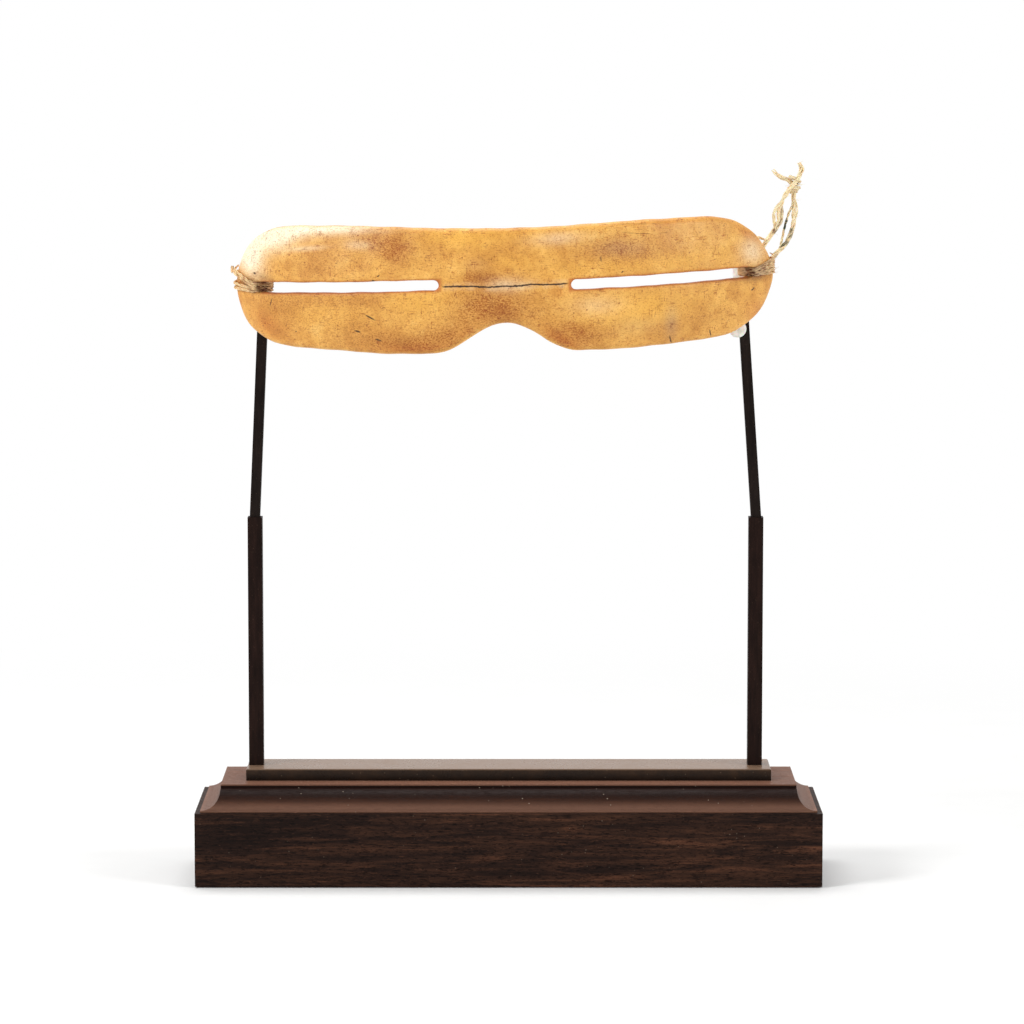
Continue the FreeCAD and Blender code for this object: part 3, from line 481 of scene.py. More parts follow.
def paint_tints(mesh):
    """Stores how strong each large tint, painted highlight and painted glow is at each point of the ivory, and the
    painted glow and shade at the slit rims.
    """
    x, y, z = (read_points(mesh, "co") * 1000).T
    reach = np.abs(x - ASIDE)
    outward = np.where(
        reach < (FACE_RADIUS + 2) * math.sin(FACE_ANGLE),
        np.hypot(x - ASIDE, y - FACE_BACK) - FACE_RADIUS,
        np.hypot(reach - TEMPLE_CENTRE[0], y - TEMPLE_CENTRE[1]) - TEMPLE_RADIUS,
    )
    front = np.clip((outward - 0.1) / 1.1, 0, 1)
    store(mesh, "front", front)
    for name, blots in TINTS_AND_PAINTED_LIGHT.items():
        total = np.zeros(len(x))
        for middle, level, wide, high, turn, strength in blots:
            angle = math.radians(turn)
            ahead = ((x - middle) * math.cos(angle) + (z - level) * math.sin(angle)) / wide
            aside = ((z - level) * math.cos(angle) - (x - middle) * math.sin(angle)) / high
            total += strength * np.exp(-1.6 * (ahead**2 + aside**2))
        store(mesh, name, np.clip(total, 0, 1) * (0.3 + 0.7 * front))
    # Painted glow and shade at the slit rims, fading away from each slit.
    rim = np.zeros(len(x))
    for inner, outer in SLIT_ENDS:
        start, end = (row_place(across, 0, up) / MM for across, up in (inner, outer))
        share = (x - start.x) / (end.x - start.x)
        middle = start.z + (end.z - start.z) * share
        beyond = np.maximum(np.maximum(-share, share - 1), 0) * abs(end.x - start.x)
        gap = np.hypot(np.maximum(np.abs(z - middle) - HALF_SLIT, 0), beyond)
        rim = np.maximum(rim, np.exp(-((gap / SLIT_GLOW_FADE) ** 2)))
    store(mesh, "slit_rim", rim)


def shape_visor():
    """The visor with its edges worn soft and a hand-carved waver in its surface."""
    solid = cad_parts["visor"]
    carved = add_object("carved_visor", solid.data.copy())
    carved.data.materials.clear()
    remesh = carved.modifiers.new("skin", "REMESH")
    remesh.mode = "VOXEL"
    remesh.voxel_size = 0.00042
    remesh.use_smooth_shade = True
    soften = carved.modifiers.new("wear", "SMOOTH")
    soften.factor = 0.6
    soften.iterations = 4
    depsgraph = bpy.context.evaluated_depsgraph_get()
    mesh = bpy.data.meshes.new_from_object(carved.evaluated_get(depsgraph))
    carved.modifiers.clear()
    carved.data = mesh
    carve_waver(mesh)
    paint_tints(mesh)
    mesh.materials.append(ivory_finish())
    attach(carved, "goggles")
    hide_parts("visor")


def carve_waver(mesh):
    """Moves the points by up to a tenth of a millimetre along long waves."""
    spots = read_points(mesh, "co")
    x, _, z = (spots * 1000).T
    wave = np.sin(x * 0.31 + 1.2) * np.sin(z * 0.53 + x * 0.11) + 0.6 * np.sin(x * 0.83 - z * 0.47 + 2.0)
    spots += read_points(mesh, "normal") * (wave * 0.00007 - 0.00004)[:, None]
    mesh.vertices.foreach_set("co", spots.ravel())
    mesh.update()


# Sinew


def sinew_finish(name, pale, dark):
    """Dried sinew: long fibres along the strand with painted shade between them and a painted highlight on their
    crests, and stains, which on the lashings carry painted shade too.
    """
    finish = Finish(name, Specular_IOR_Level=0.35, Subsurface_Weight=0.1, Subsurface_Scale=0.001)
    place = finish.place()
    fibre = finish.painted("fibre")
    blotch = finish.noise(place, 0.55, 3.0)
    lengthwise = finish.node("ShaderNodeCombineXYZ", None, fibre * 9, finish.painted("run") * 0.5, 0.0)
    threads = finish.noise(lengthwise, 1.0)
    # Painted shade between the fibres and painted highlight on their crests, partly the fibres' own colour.
    lit_crest = tuple(v**0.8 for v in pale)
    colour = finish.ramp(threads * 0.6 + blotch * 0.4, [(0.34, dark), (0.5, pale), (0.66, lit_crest)])
    streaks = 0.3 + threads.over(0.56, 0.42) * 0.9
    # Stains, and on the lashings painted shade where they dip into the slits; both deepest between the fibres.
    colour = colour.shaded(finish.painted("stain") * streaks, srgb(104, 60, 38))
    colour = colour.tinted(finish.painted("moss") * blotch.over(0.4, 0.6), srgb(66, 74, 58))
    finish.wear(Base_Color=colour, Roughness=0.55 + threads * 0.25)
    finish.relief(threads + blotch * 0.5, 0.00012, 0.7)
    return finish.material


def spline_line(points, steps):
    """Points read along one smooth spline that has the given control points."""
    curve = bpy.data.curves.new("route", "CURVE")
    curve.dimensions = "3D"
    curve.resolution_u = steps
    spline = curve.splines.new("NURBS")
    spline.points.add(len(points) - 1)
    for control, point in zip(spline.points, points):
        control.co = (*point, 1.0)
    spline.order_u = 3
    spline.use_endpoint_u = True
    holder = bpy.data.objects.new("route", curve)
    mesh = bpy.data.meshes.new_from_object(holder)
    line = [vertex.co.copy() for vertex in mesh.vertices]
    bpy.data.objects.remove(holder)
    bpy.data.curves.remove(curve)
    bpy.data.meshes.remove(mesh)
    return line


def lengths_along(line):
    """The length so far at each point."""
    lengths = [0.0]
    for before, after in zip(line, line[1:]):
        lengths.append(lengths[-1] + (after - before).length)
    return lengths


def frames_along(line):
    """Each point with a steady pair of sideways directions and the length so far."""
    ways = [(line[min(i + 1, len(line) - 1)] - line[max(i - 1, 0)]).normalized() for i in range(len(line))]
    side = ways[0].orthogonal().normalized()
    frames = []
    for way in ways:
        side = (side - way * side.dot(way)).normalized()
        frames.append((side, way.cross(side)))
    return list(zip(line, frames, lengths_along(line)))


class Strands:
    """A mesh of round fibres, each following a line."""

    def __init__(self, name):
        self.name = name
        self.mesh = bmesh.new()
        self.layers = {key: self.mesh.verts.layers.float.new(key) for key in ("fibre", "run", "stain", "moss")}

    def add(self, line, radius, fibre, stain=None, moss=None, sides=6):
        """One fibre; radius gives its half thickness at a share of its length."""
        steps = frames_along(line)
        rings = []
        for spot, (side, up), length in steps:
            share = length / steps[-1][2]
            ring = []
            for corner in range(sides):
                angle = math.tau * corner / sides
                vertex = self.mesh.verts.new(around(spot, side, up, radius(share), angle))
                vertex[self.layers["fibre"]] = fibre + 0.15 * math.sin(angle)
                vertex[self.layers["run"]] = length * 1000
                vertex[self.layers["stain"]] = stain(share, spot) if stain else 0.0
                vertex[self.layers["moss"]] = moss(share, spot) if moss else 0.0
                ring.append(vertex)
            rings.append(ring)
        join_rings(self.mesh, rings)
        self.mesh.faces.new(rings[0][::-1])
        self.mesh.faces.new(rings[-1])

    def twist(self, line, count, coil, thick, turn, seed, **paint):
        """Several fibres laid round a line, which wander a little and thin out at both ends."""
        chance = random.Random(seed)
        steps = frames_along(line)
        for number in range(count):
            start = math.tau * number / count + chance.uniform(-0.4, 0.4)
            reach = coil * chance.uniform(0.75, 1.15)
            wander = chance.uniform(0, 6)
            laid = []
            for spot, (side, up), length in steps:
                angle = start + math.tau * length / turn + 0.5 * math.sin(length * 900 + wander)
                laid.append(around(spot, side, up, reach, angle))
            width = thick * chance.uniform(0.8, 1.15)

            def taper(share):
                return width * (0.45 + 0.55 * min(1, 9 * share, 9 * (1 - share)))

            self.add(laid, taper, number + seed, **paint)

    def hair(self, start, way, length, thick, seed):
        """A loose fibre that stands off and curls."""
        chance = random.Random(seed)
        points = [Vector(start)]
        heading = Vector(way).normalized()
        for _ in range(5):
            turn = Vector((chance.uniform(-1, 1), chance.uniform(-1, 1), chance.uniform(-1, 1)))
            heading = (heading + turn * 0.25).normalized()
            points.append(points[-1] + heading * length / 5)
        self.add(spline_line(points, steps=4), lambda share: thick * (1.05 - share), seed, sides=4)

    def finished(self, material):
        bmesh.ops.recalc_face_normals(self.mesh, faces=self.mesh.faces)
        return finished_piece(self.name, self.mesh, material)


# Heights of the turns at the outer end of the goggles, on the front and on the back, and half the sinew's thickness
FANS = {
    "left": ([4.4, 3.6, 0.9, -0.3], [3.4, 1.6, 0.2, -1.6], 0.42),
    "right": ([3.5, 3.0, 2.4, 1.8, 1.2, 0.6, 0.0, -0.6], [2.8, 2.3, 1.7, 1.0, 0.4, -0.2, -0.8, -1.4], 0.27),
}
# Distances from the middle of the goggles in metres: the middle of the painted shade where a lashing dips into its
# slit, and where its loose fibres begin
SLIT_SHADE_REACH = 0.0612
FIRST_HAIR = 0.0645


def lashing_turn(side, start, front, back, spread, thick):
    """The control points of one turn: from the end over the front, through the slit and along the back."""
    sign = -1 if side == "left" else 1
    middle = LASHING_MIDDLE[side]
    rim, bend, flat = WALL_END - 0.9, WALL_END - 3.2, WALL_END - 6.0
    inside = SLIT_END - 0.02 - thick
    face = HALF_WALL + thick

    def spot(along, out, up):
        return wall_place(sign * along, out, middle + up)

    return [
        spot(WALL_END + 0.3 + thick, 0.0, start),
        spot(rim, 2.15 + thick, front),
        spot(bend, face + 0.2, front * 0.75 + spread * 0.25),
        spot(flat, face + 0.05, front * 0.35 + spread * 0.65),
        spot(inside + 1.1, face + 0.15, spread),
        spot(inside, face - 0.2, spread),
        spot(inside, 0.0, spread),
        spot(inside, 0.2 - face, spread),
        spot(inside + 1.1, -face - 0.15, spread),
        spot(flat, -face - 0.05, back * 0.35 + spread * 0.65),
        spot(bend, -face - 0.2, back * 0.75 + spread * 0.25),
        spot(rim, -2.15 - thick, back),
    ]


def make_lashing(side, material, seed):
    """One length of sinew wound round the strip outside a slit, close in the slit and fanned out at the end."""
    strands = Strands(side + "_sinew")
    fronts, backs, thick = FANS[side]
    count = len(fronts)
    route = []
    for number, (front, back) in enumerate(zip(fronts, backs)):
        start = (backs[number - 1] + front) / 2 if number else front + 0.5
        spread = 0.95 * (1 - 2 * number / (count - 1))
        route += lashing_turn(side, start, front, back, spread, thick)

    def shade_in_slit(share, spot):
        """Painted shade where it dips into the slit."""
        return 0.95 * math.exp(-(((abs(spot.x) - SLIT_SHADE_REACH) / 0.0034) ** 2))

    line = spline_line(route, steps=8)
    strands.twist(line, 3, thick * 0.5 * MM, thick * 0.54 * MM, 0.008, seed, stain=shade_in_slit)
    if side == "left":
        tail = [(-WALL_END + 1.0, 3.0, 3.6), (-WALL_END - 0.1, 2.3, 4.2), (-WALL_END - 0.6, 1.9, 5.0)]
        end = spline_line([wall_place(*point) for point in tail], steps=6)
        strands.twist(end, 3, 0.0002, 0.00024, 0.006, 71, stain=lambda share, spot: max(0.0, 2 * share - 1))
    chance = random.Random(seed)
    sign = -1 if side == "left" else 1
    outer_spots = [spot for spot in line if abs(spot.x) > FIRST_HAIR]
    for number in range(7 if side == "left" else 14):
        way = (sign * chance.uniform(0.2, 1), -0.35, chance.uniform(-0.2, 0.7))
        start = chance.choice(outer_spots)
        strands.hair(start, way, chance.uniform(0.0009, 0.0018), 0.00006, seed + 80 + number)
    made = strands.finished(material)
    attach(made, "goggles")
    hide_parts(side + "_lashing")


# Strap end: two cords from the right slit, knotted above the goggles

OUTER_ROUTE = [
    (64.5, 0.8, -4.4), (64.2, 0.9, -0.8), (65.6, 1.1, 2.4), (68.7, 1.0, 5.2), (71.2, 0.6, 8.0), (72.6, 0.0, 11.6),
    (72.7, -0.1, 15.2), (72.6, 0.2, 18.6), (73.1, 0.4, 21.6), (71.4, 0.3, 23.4), (69.0, -0.1, 24.1), (67.6, -0.3, 25.9),
]
INNER_ROUTE = [
    (62.7, 0.8, -4.6), (62.5, 0.9, -0.6), (63.2, 0.8, 3.2), (64.8, 0.5, 6.8), (66.9, -0.1, 9.6), (69.0, -0.5, 12.4),
    (68.9, -0.9, 16.0), (70.2, -1.4, 19.2), (72.4, -1.7, 21.8), (74.1, -1.5, 24.1), (74.8, -1.3, 26.2),
    (74.1, -1.3, 27.6),
]
KNOT_MIDDLE = (73.0, -0.65, 22.0)
# Loose fibres on each cord, as (share of its length, direction, seed)
OUTER_HAIRS = [(0.63, (1, 0, 0.5), 31), (0.64, (1, -0.4, -0.2), 32), (0.5, (1, 0, 0.2), 33), (0.7, (-1, 0, 0), 34)]
INNER_HAIRS = [(0.38, (1, 0, -1), 51), (0.66, (1, 0, -0.4), 52), (0.72, (-1, 0, 0.3), 53), (0.97, (0.3, 0, 1), 54)]
# Loose ends of the knot, as (direction, length)
KNOT_ENDS = [((-1, -0.3, -0.1), 0.0026), ((1, -0.3, -0.2), 0.003), ((-0.6, 0, 1), 0.0022), ((1, 0, 0.2), 0.002)]


def point_at(line, share):
    """The point this far along a line."""
    return line[int(share * len(line))]


def split_line(line, start, end, aside):
    """Part of a line bowed sideways, as a strand that parts from the cord and joins it again."""
    piece = line[int(start * len(line)) : int(end * len(line))]
    last = len(piece) - 1
    return [spot + Vector(aside) * MM * math.sin(math.pi * i / last) for i, spot in enumerate(piece)]


def make_cord(name, node, route, turn, seed, material, loosen, knots, **paint):
    """One cord of the strap on its spline, twisted from fibres, and the strands that part from it."""
    line = spline_line([row_place(*point) for point in route], steps=12)
    strands = Strands(name)
    strands.twist(line, 4, 0.00034, 0.0003, turn, seed, **paint)
    cord = strands.finished(material)
    loose = Strands(name + "_loose_strands")
    loosen(loose, line)
    parted = loose.finished(material)
    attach(cord, "goggles")
    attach(parted, "goggles")
    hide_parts(node)
    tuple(line[0])
    lengths_along(line)[-1]


def outer_strands(strands, line):
    """The thin second strand with its dark patches, and frays."""

    def moss(share, spot):
        return 1.0 if 0.35 < share < 0.85 else 0.2

    strands.twist(split_line(line, 0.26, 0.62, (-1.9, -0.3, 0.6)), 3, 0.00018, 0.00016, 0.005, 21, moss=moss)
    strands.twist(split_line(line, 0.48, 0.66, (0.9, -0.2, 0.2)), 2, 0.00014, 0.00015, 0.006, 25)
    for share, way, seed in OUTER_HAIRS:
        strands.hair(point_at(line, share), way, 0.0022, 0.00007, seed)


def inner_strands(strands, line):
    """The broad part that splits in two, the thicker tail and the fork at the foot."""

    def brown(share, spot):
        return 0.55

    strands.twist(split_line(line, 0.4, 0.62, (-1.3, -0.2, 0.0)), 3, 0.00022, 0.00024, 0.006, 41)
    strands.twist(split_line(line, 0.42, 0.6, (0.75, -0.3, -0.2)), 2, 0.0002, 0.00028, 0.006, 43, stain=brown)
    strands.twist(split_line(line, 0.86, 1.0, (0.5, -0.25, 0.1)), 2, 0.0002, 0.00018, 0.006, 47)
    foot = point_at(line, 0.36)
    fork = [foot, foot + Vector((-0.001, -0.0004, -0.0012))]
    fork += [row_place(65.0, -1.0, 8.6), row_place(63.4, -1.2, 9.4), row_place(61.8, -0.6, 9.0)]
    strands.twist(spline_line(fork, steps=8), 2, 0.0002, 0.0002, 0.006, 45)
    for share, way, seed in INNER_HAIRS:
        strands.hair(point_at(line, share), way, 0.0018, 0.00007, seed)


def make_knot(material):
    """The two cords hitched round each other: wrapped turns with loose ends between them."""

    def worn(share, spot):
        return 0.25

    strands = Strands("sinew_knot")
    chance = random.Random(3)
    middle = row_place(*KNOT_MIDDLE)
    for number in range(5):
        tip = Vector((chance.uniform(-0.5, 0.5), chance.uniform(-0.3, 0.3), 1)).normalized()
        side = tip.orthogonal().normalized()
        other = tip.cross(side)
        centre = middle + Vector((chance.uniform(-0.2, 0.2) * MM, 0, (number - 2) * 0.00072))
        radius = 0.00112 + 0.0003 * math.sin(number * 1.9)
        ring = []
        for step in range(9):
            angle = math.tau * step / 8 + number
            ring.append(around(centre, side, other, radius, angle) + tip * (step - 4) * 0.0001)
        strands.twist(spline_line(ring, steps=5), 3, 0.00022, 0.00024, 0.005, 60 + number, stain=worn)
    for number, (way, length) in enumerate(KNOT_ENDS):
        strands.hair(middle, way, length, 0.00012, 90 + number)
    knot = strands.finished(material)
    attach(knot, "goggles")
    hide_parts("strap_knot")
    return knot


def make_strap(material):
    knot = make_knot(material)
    make_cord(
        "outer_strap_cord", "strap_cord_outer", OUTER_ROUTE, 0.009, 11, material, outer_strands, [knot],
        moss=lambda share, spot: 0.8 if 0.34 < share < 0.5 else 0.0,
        stain=lambda share, spot: 0.3 if share < 0.3 else 0.05,
    )
    make_cord(
        "inner_strap_cord", "strap_cord_inner", INNER_ROUTE, 0.010, 12, material, inner_strands, [],
        stain=lambda share, spot: 0.8 * math.exp(-(((share - 0.47) / 0.02) ** 2)),
    )


# Soft tubes and pads

TUBE_SIDES = 36


def silicone_finish():
    """Milky soft tube, a little hazy, with dust on it."""
    finish = Finish("clear_tube", Specular_IOR_Level=0.5, Subsurface_Weight=0.3, Subsurface_Scale=0.001)
    place = finish.place()
    haze = finish.noise(place, 0.9, 3.0)
    dust = finish.cells(place, 1.4).over(0.14, 0.05)
    colour = finish.ramp(haze, [(0.3, srgb(214, 214, 208)), (0.7, srgb(240, 240, 236))])
    finish.wear(Base_Color=colour.shaded(dust * 0.5, srgb(150, 146, 138)), Roughness=0.3 + haze * 0.2)
    finish.relief(haze, 0.00005)
    return finish.material


def make_tube(node, centre, axis, start, end, outer, bore, capped, body, material):
    """A cut length of soft tube with rounded lips; a capped one is closed at its front."""
    lip = 0.28
    profile = [(start, outer - lip), (start + lip * 0.3, outer - lip * 0.3), (start + lip, outer)]
    steps = 10
    for step in range(1, steps):
        share = step / steps
        waist = 0.03 * math.sin(share * 9 + start)
        profile.append((start + lip + (end - start - 2 * lip) * share, outer - 0.03 + waist))
    profile += [(end - lip, outer), (end - lip * 0.3, outer - lip * 0.3), (end, outer - lip)]
    profile += [(end, bore + lip * 0.4), (end - lip * 0.3, bore)]
    if capped:
        profile = [(start - 0.02, 0.01), (start - 0.01, outer * 0.5)] + profile
        profile += [(start + 0.25, bore), (start + 0.2, 0.01)]
    else:
        profile += [(start + lip * 0.3, bore), (start, bore + lip * 0.4)]
    axis = Vector(axis)
    side = axis.orthogonal().normalized()
    up = axis.cross(side)
    mesh = bmesh.new()
    rings = []
    for run, reach in profile:
        middle = Vector(centre) + axis * run
        angles = [math.tau * corner / TUBE_SIDES for corner in range(TUBE_SIDES)]
        rings.append([mesh.verts.new(around(middle, side, up, reach, angle) * MM) for angle in angles])
    join_rings(mesh, rings + rings[:1])
    bmesh.ops.recalc_face_normals(mesh, faces=mesh.faces)
    tube = finished_piece("soft_" + node, mesh, material)
    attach(tube, body)
    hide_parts(node)


def make_soft_tubes(material):
    """The tubes on the hooks and the pads on the prongs, with their bores in millimetres."""
    for side in ("left", "right"):
        for kind, bore in (("hook_tube", 0.85), ("pad", 0.65)):
            node = side + "_" + kind
            low, high = (Vector(corner) * 1000 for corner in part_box(node))
            middle = (low + high) / 2
            outer = (high.x - low.x) / 2
            place = (middle.x, 0, middle.z)
            make_tube(node, place, (0, 1, 0), low.y, high.y, outer, bore, kind == "pad", side + "_arm", material)


# Wood, brass and steel

# Heights on the base in millimetres: where its hollow moulding begins, and the lip above it
COVE_FOOT = 19.4
LIP = 24.8


def wood_finish(name):
    """Dark fine-grained wood: long wavy flecks along its length, pores, dust and a warmer cove, with painted light low
    in the cove, painted shade under the lip and painted highlights on the lip, the flat top and the block's top edge,
    the last partly edge wear.
    """
    finish = Finish(name, Specular_IOR_Level=0.07)
    place = finish.place()
    height = finish.parts(place)[2]
    figure = finish.noise(place * (0.06, 1.0, 1.0) + (2, 5, 1), 0.55, 5.0, 0.65, 1.2)
    bands = finish.noise(place * (0.012, 0.5, 0.22) + (0, 0, 3), 1.0, 3.0, 0.6, 0.8)
    flecks = finish.noise(place * (0.5, 2.6, 3.0), 1.0, 4.0, 0.75, 0.6).over(0.52, 0.6)
    pores = finish.noise(place * (1.1, 6.0, 7.0) + (9, 2, 4), 1.0, 2.0, 0.5).over(0.6, 0.72)
    light = finish.noise(place * (0.5, 2.0, 2.6) + (5, 5, 5), 1.0, 3.0, 0.6, 0.8).over(0.58, 0.75)
    colour = finish.ramp(
        figure * 0.6 + bands * 0.4,
        [(0.34, srgb(21, 12, 9)), (0.46, srgb(36, 22, 17)), (0.56, srgb(57, 36, 26)), (0.68, srgb(92, 58, 42))],
    )
    colour = colour.shaded(flecks * 0.85, srgb(104, 84, 80))
    colour = colour.shaded(pores * 0.6, srgb(70, 52, 50))
    colour = colour.tinted(light * 0.22, srgb(120, 80, 60))
    above = height.over(COVE_FOOT - 0.5, COVE_FOOT)
    colour = colour.tinted(above * 0.3, srgb(116, 76, 58))
    dust = finish.cells(place, 0.55).over(0.1, 0.03) * finish.noise(place, 0.08).over(0.45, 0.6)
    # Painted light: lighter low in the cove, where it turns up towards the light.
    low_cove_light = above * height.over(COVE_FOOT + 3.2, COVE_FOOT + 0.4)
    colour = colour.tinted(low_cove_light * 0.42, srgb(150, 112, 94))
    # Painted shade under the lip: darkest just below it, on the front and back faces only.
    sideways = finish.parts(finish.node("ShaderNodeNewGeometry", give="Normal"))[0].size()
    under_lip_shade = height.over(COVE_FOOT + 0.2, COVE_FOOT + 3.8) * height.over(LIP + 0.2, LIP) * sideways.over(0.75, 0.35)
    colour = colour.shaded(under_lip_shade, srgb(112, 97, 93))
    # Painted highlight on the lip's edge and on the flat top above it.
    lip = height.over(LIP, LIP + 0.2)
    colour = colour.tinted(lip * (0.35 + light * 0.5), srgb(164, 118, 96))
    # Painted highlight along the block's top edge, partly edge wear.
    rubbed = height.over(COVE_FOOT - 0.6, COVE_FOOT - 0.4) * height.over(COVE_FOOT + 0.1, COVE_FOOT - 0.1)
    colour = colour.tinted(rubbed * (0.4 + light * 0.5), srgb(156, 114, 94))
    colour = colour.tinted(dust * (0.25 + above * 0.75) * 0.7, srgb(206, 188, 168))
    finish.wear(Base_Color=colour, Roughness=0.42 + figure * 0.16 + flecks * 0.1 - above * 0.06)
    finish.relief(figure * 0.5 - flecks * 0.5 - pores * 0.8, 0.0001, 0.6)
    return finish.material


def brass_finish():
    """Old browned brass, brushed along its length, with a painted highlight on its top and painted shade darkening it
    towards its foot.
    """
    finish = Finish("brown_brass", Specular_IOR_Level=0.16)
    place = finish.place()
    upward = finish.parts(finish.node("ShaderNodeNewGeometry", give="Normal"))[2]
    brushed = finish.noise(place * (0.4, 9.0, 1.0), 1.0, 3.0, 0.7)
    upright = finish.noise(place * (5.0, 1.0, 0.4), 1.0, 3.0, 0.7)
    patina = finish.noise(place, 0.12, 4.0, 0.6, 0.5)
    colour = finish.ramp(
        patina * 0.6 + brushed * 0.25 + upright * 0.15,
        [(0.3, srgb(26, 15, 8)), (0.5, srgb(42, 27, 15)), (0.7, srgb(66, 45, 28))],
    )
    # Painted shade: the front darkens towards its foot.
    foot, edge = (corner[2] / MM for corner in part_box("post_plate"))
    colour = colour.shaded(finish.parts(place)[2].over(edge, foot) * 0.85, srgb(124, 112, 102))
    # Painted highlight: faces turned up are lighter, as a top catches the light.
    colour = colour.tinted(upward.over(0.5, 0.9) * 0.6, srgb(158, 127, 104))
    specks = finish.cells(place, 0.7).over(0.1, 0.04)
    colour = colour.tinted(specks * 0.4, srgb(150, 130, 110))
    finish.wear(Base_Color=colour, Roughness=0.2 + patina * 0.16)
    finish.relief(brushed * 0.6 + upright * 0.4, 0.00004)
    return finish.material


def steel_finish(name, dark, light, metal):
    """Blackened steel with a thin brown bloom and lighter rubbed streaks."""
    finish = Finish(name, Specular_IOR_Level=0.06 + 0.5 * metal, Metallic=metal)
    place = finish.place()
    bloom = finish.noise(place * (1.0, 1.0, 0.25), 0.5, 4.0, 0.6)
    scuffs = finish.noise(place * (3.0, 3.0, 0.16), 1.0, 3.0, 0.65)
    specks = finish.cells(place, 1.1).over(0.12, 0.05)
    rubbed = tuple(1.7 * v for v in light)
    colour = finish.ramp(bloom * 0.6 + scuffs * 0.4, [(0.32, dark), (0.55, light), (0.75, rubbed)])
    colour = colour.tinted(specks * 0.25, srgb(120, 96, 78))
    finish.wear(Base_Color=colour, Roughness=0.36 + bloom * 0.24)
    finish.relief(scuffs + bloom * 0.5, 0.00005, 0.5)
    return finish.material


def felt_finish():
    """Black felt with a fine nap."""
    finish = Finish("black_felt", Specular_IOR_Level=0.2, Roughness=0.95)
    finish.shader.inputs["Sheen Weight"].default_value = 0.4
    fuzz = finish.noise(finish.place(), 3.0, 4.0, 0.7, 1.0)
    finish.wear(Base_Color=finish.ramp(fuzz, [(0.3, srgb(16, 16, 18)), (0.7, srgb(44, 43, 46))]))
    finish.relief(fuzz, 0.0002)
    return finish.material


def make_felt(material):
    """A sheet of felt under the base, with a soft nap and fibres along its cut edge."""
    low, high = (Vector(corner) * 1000 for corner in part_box("base_felt"))
    mesh = bmesh.new()
    chance = random.Random(8)
    columns, rows = 150, 34
    layers = []
    for level, inset in ((low.z, 0.25), (low.z + 0.2, 0.0), (high.z - 0.2, 0.0), (high.z, 0.2)):
        grid = []
        for i in range(columns + 1):
            line = []
            for j in range(rows + 1):
                x = low.x + inset + (high.x - low.x - 2 * inset) * i / columns
                y = low.y + inset + (high.y - low.y - 2 * inset) * j / rows
                edge = i in (0, columns) or j in (0, rows)
                nap = 0.0 if level == low.z else chance.uniform(-0.04, 0.0)
                pull = chance.uniform(0, 0.1) if edge else 0.0
                spot = Vector((x * (1 - pull / 80), y * (1 - pull / 20), level + nap))
                line.append(mesh.verts.new(spot * MM) if edge or level in (low.z, high.z) else None)
            grid.append(line)
        layers.append(grid)
    for grid, flip in ((layers[0], True), (layers[-1], False)):
        for i in range(columns):
            for j in range(rows):
                corners = [grid[i][j], grid[i + 1][j], grid[i + 1][j + 1], grid[i][j + 1]]
                mesh.faces.new(corners[::-1] if flip else corners)
    rim = [(i, 0) for i in range(columns)] + [(columns, j) for j in range(rows)]
    rim += [(i, rows) for i in range(columns, 0, -1)] + [(0, j) for j in range(rows, 0, -1)]
    for below, above in zip(layers, layers[1:]):
        for (i, j), (k, m) in zip(rim, rim[1:] + rim[:1]):
            mesh.faces.new((below[i][j], below[k][m], above[k][m], above[i][j]))
    felt = finished_piece("felt_sheet", mesh, material)
    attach(felt, "stand")
    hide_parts("base_felt")


def dress(material, *names):
    """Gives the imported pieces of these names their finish."""
    for name in names:
        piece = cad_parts[name]
        piece.data.materials.clear()
        piece.data.materials.append(material)


# Floor and light

LAMP_AIM = (0, 0, 0.1)


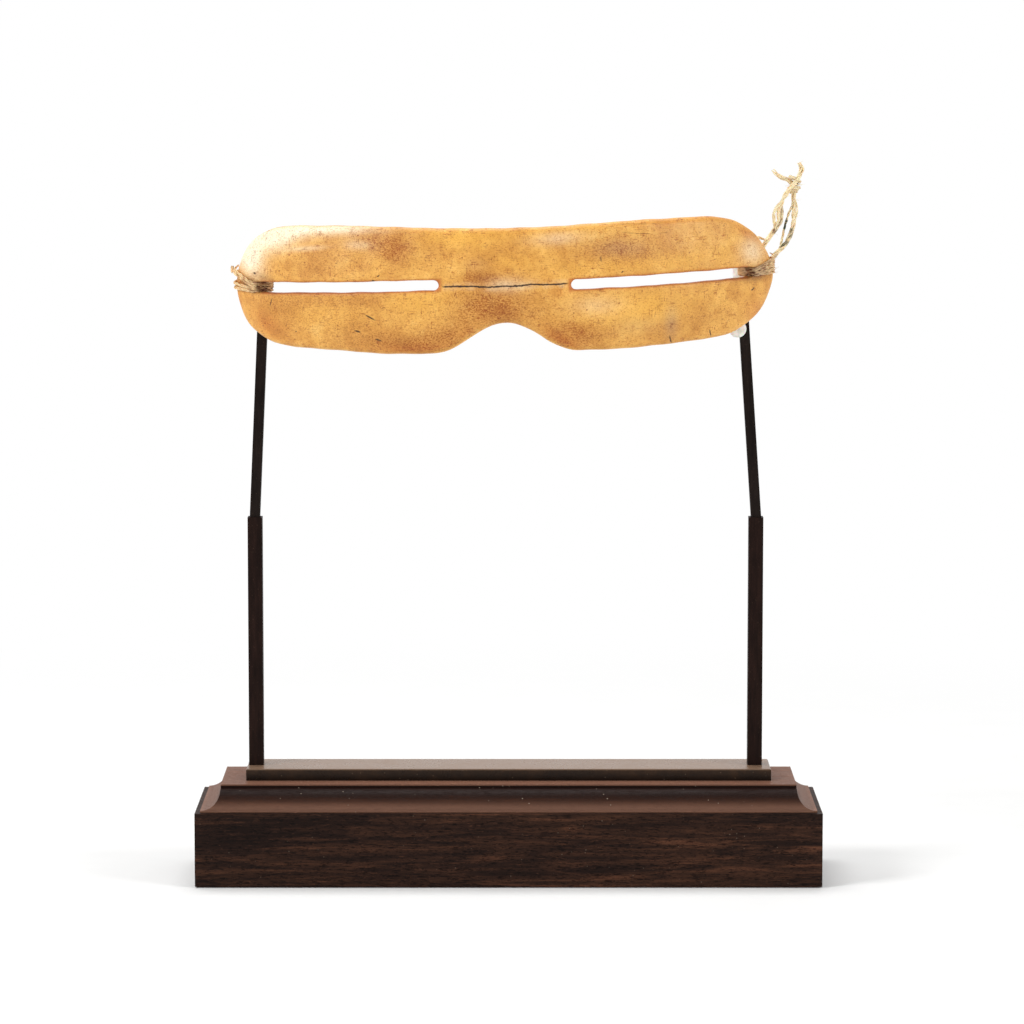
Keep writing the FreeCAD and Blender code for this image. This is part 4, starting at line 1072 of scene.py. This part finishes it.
def make_floor():
    """A pale floor that shows as white and keeps the shadow of the stand."""
    mesh = bmesh.new()
    bmesh.ops.create_grid(mesh, x_segments=8, y_segments=8, size=3.0)
    finish = Finish("white_floor", Roughness=0.9, Specular_IOR_Level=0.0)
    place = finish.place()
    distance = finish.node("ShaderNodeVectorMath", {"operation": "LENGTH"}, place, give="Value")
    paper = finish.noise(place, 0.05)
    finish.wear(Base_Color=finish.ramp(paper, [(0.3, (0.87, 0.87, 0.865)), (0.7, (0.89, 0.89, 0.885))]))
    rays = ("Is Camera Ray", "Is Glossy Ray", "Is Transmission Ray")
    seen, glossy, through = (finish.node("ShaderNodeLightPath", give=ray) for ray in rays)
    white = finish.node("ShaderNodeEmission", None, Color=(1, 1, 1), Strength=1.0, give="Emission")
    far = distance.over(130, 420) * (seen + glossy + through)
    mixed = finish.node("ShaderNodeMixShader", None, far, Signal(finish, finish.shader.outputs[0]), white)
    finish.feed(finish.tree.nodes["Material Output"].inputs["Surface"], mixed)
    floor = finished_piece("floor", mesh, finish.material)


def light_room():
    """White surroundings for the eye and for reflections, with a softer even light on the object."""
    world = bpy.data.worlds.new("room")
    bpy.context.scene.world = world
    world.use_nodes = True
    room = Nodes(world.node_tree)
    walls = room.tree.nodes["Background"]
    room.feed(walls.inputs["Color"], (1, 1, 1))
    room.feed(walls.inputs["Strength"], 1 - room.node("ShaderNodeLightPath", give="Is Diffuse Ray") * 0.58)
    make_lamp("key", (-0.95, -0.6, 0.75), LAMP_AIM, (0.45, 0.45), 9)
    make_lamp("fill", (0.95, -0.5, 0.55), LAMP_AIM, (0.5, 0.5), 5.5)
    make_lamp("top", (-0.1, 0.25, 0.9), (0, 0, 0.14), (0.7, 0.4), 4)


bpy.context.scene.view_settings.view_transform = "Standard"
make_camera()
light_room()
make_floor()
make_strap(sinew_finish("strap_sinew", srgb(246, 226, 184), srgb(206, 166, 112)))
make_lashing("left", sinew_finish("left_sinew", srgb(238, 200, 146), srgb(176, 124, 76)), 100)
make_lashing("right", sinew_finish("right_sinew", srgb(232, 194, 144), srgb(164, 116, 78)), 200)
shape_visor()
clear_tube = silicone_finish()
make_soft_tubes(clear_tube)
make_felt(felt_finish())
dress(wood_finish("dark_wood"), "base_block")
dress(brass_finish(), "post_plate")
dress(steel_finish("sleeve_steel", srgb(18, 10, 8), srgb(33, 20, 16), 0.0), "left_sleeve", "right_sleeve")
bar_steel = steel_finish("bar_steel", srgb(16, 11, 10), srgb(30, 23, 20), 0.0)
dress(bar_steel, "left_bar", "right_bar", "left_hook", "right_hook", "left_prong", "right_prong")
dress(steel_finish("screw_steel", srgb(110, 108, 104), srgb(150, 148, 144), 0.9), "plate_screws")
dress(clear_tube, "left_rest_tube", "right_rest_tube")
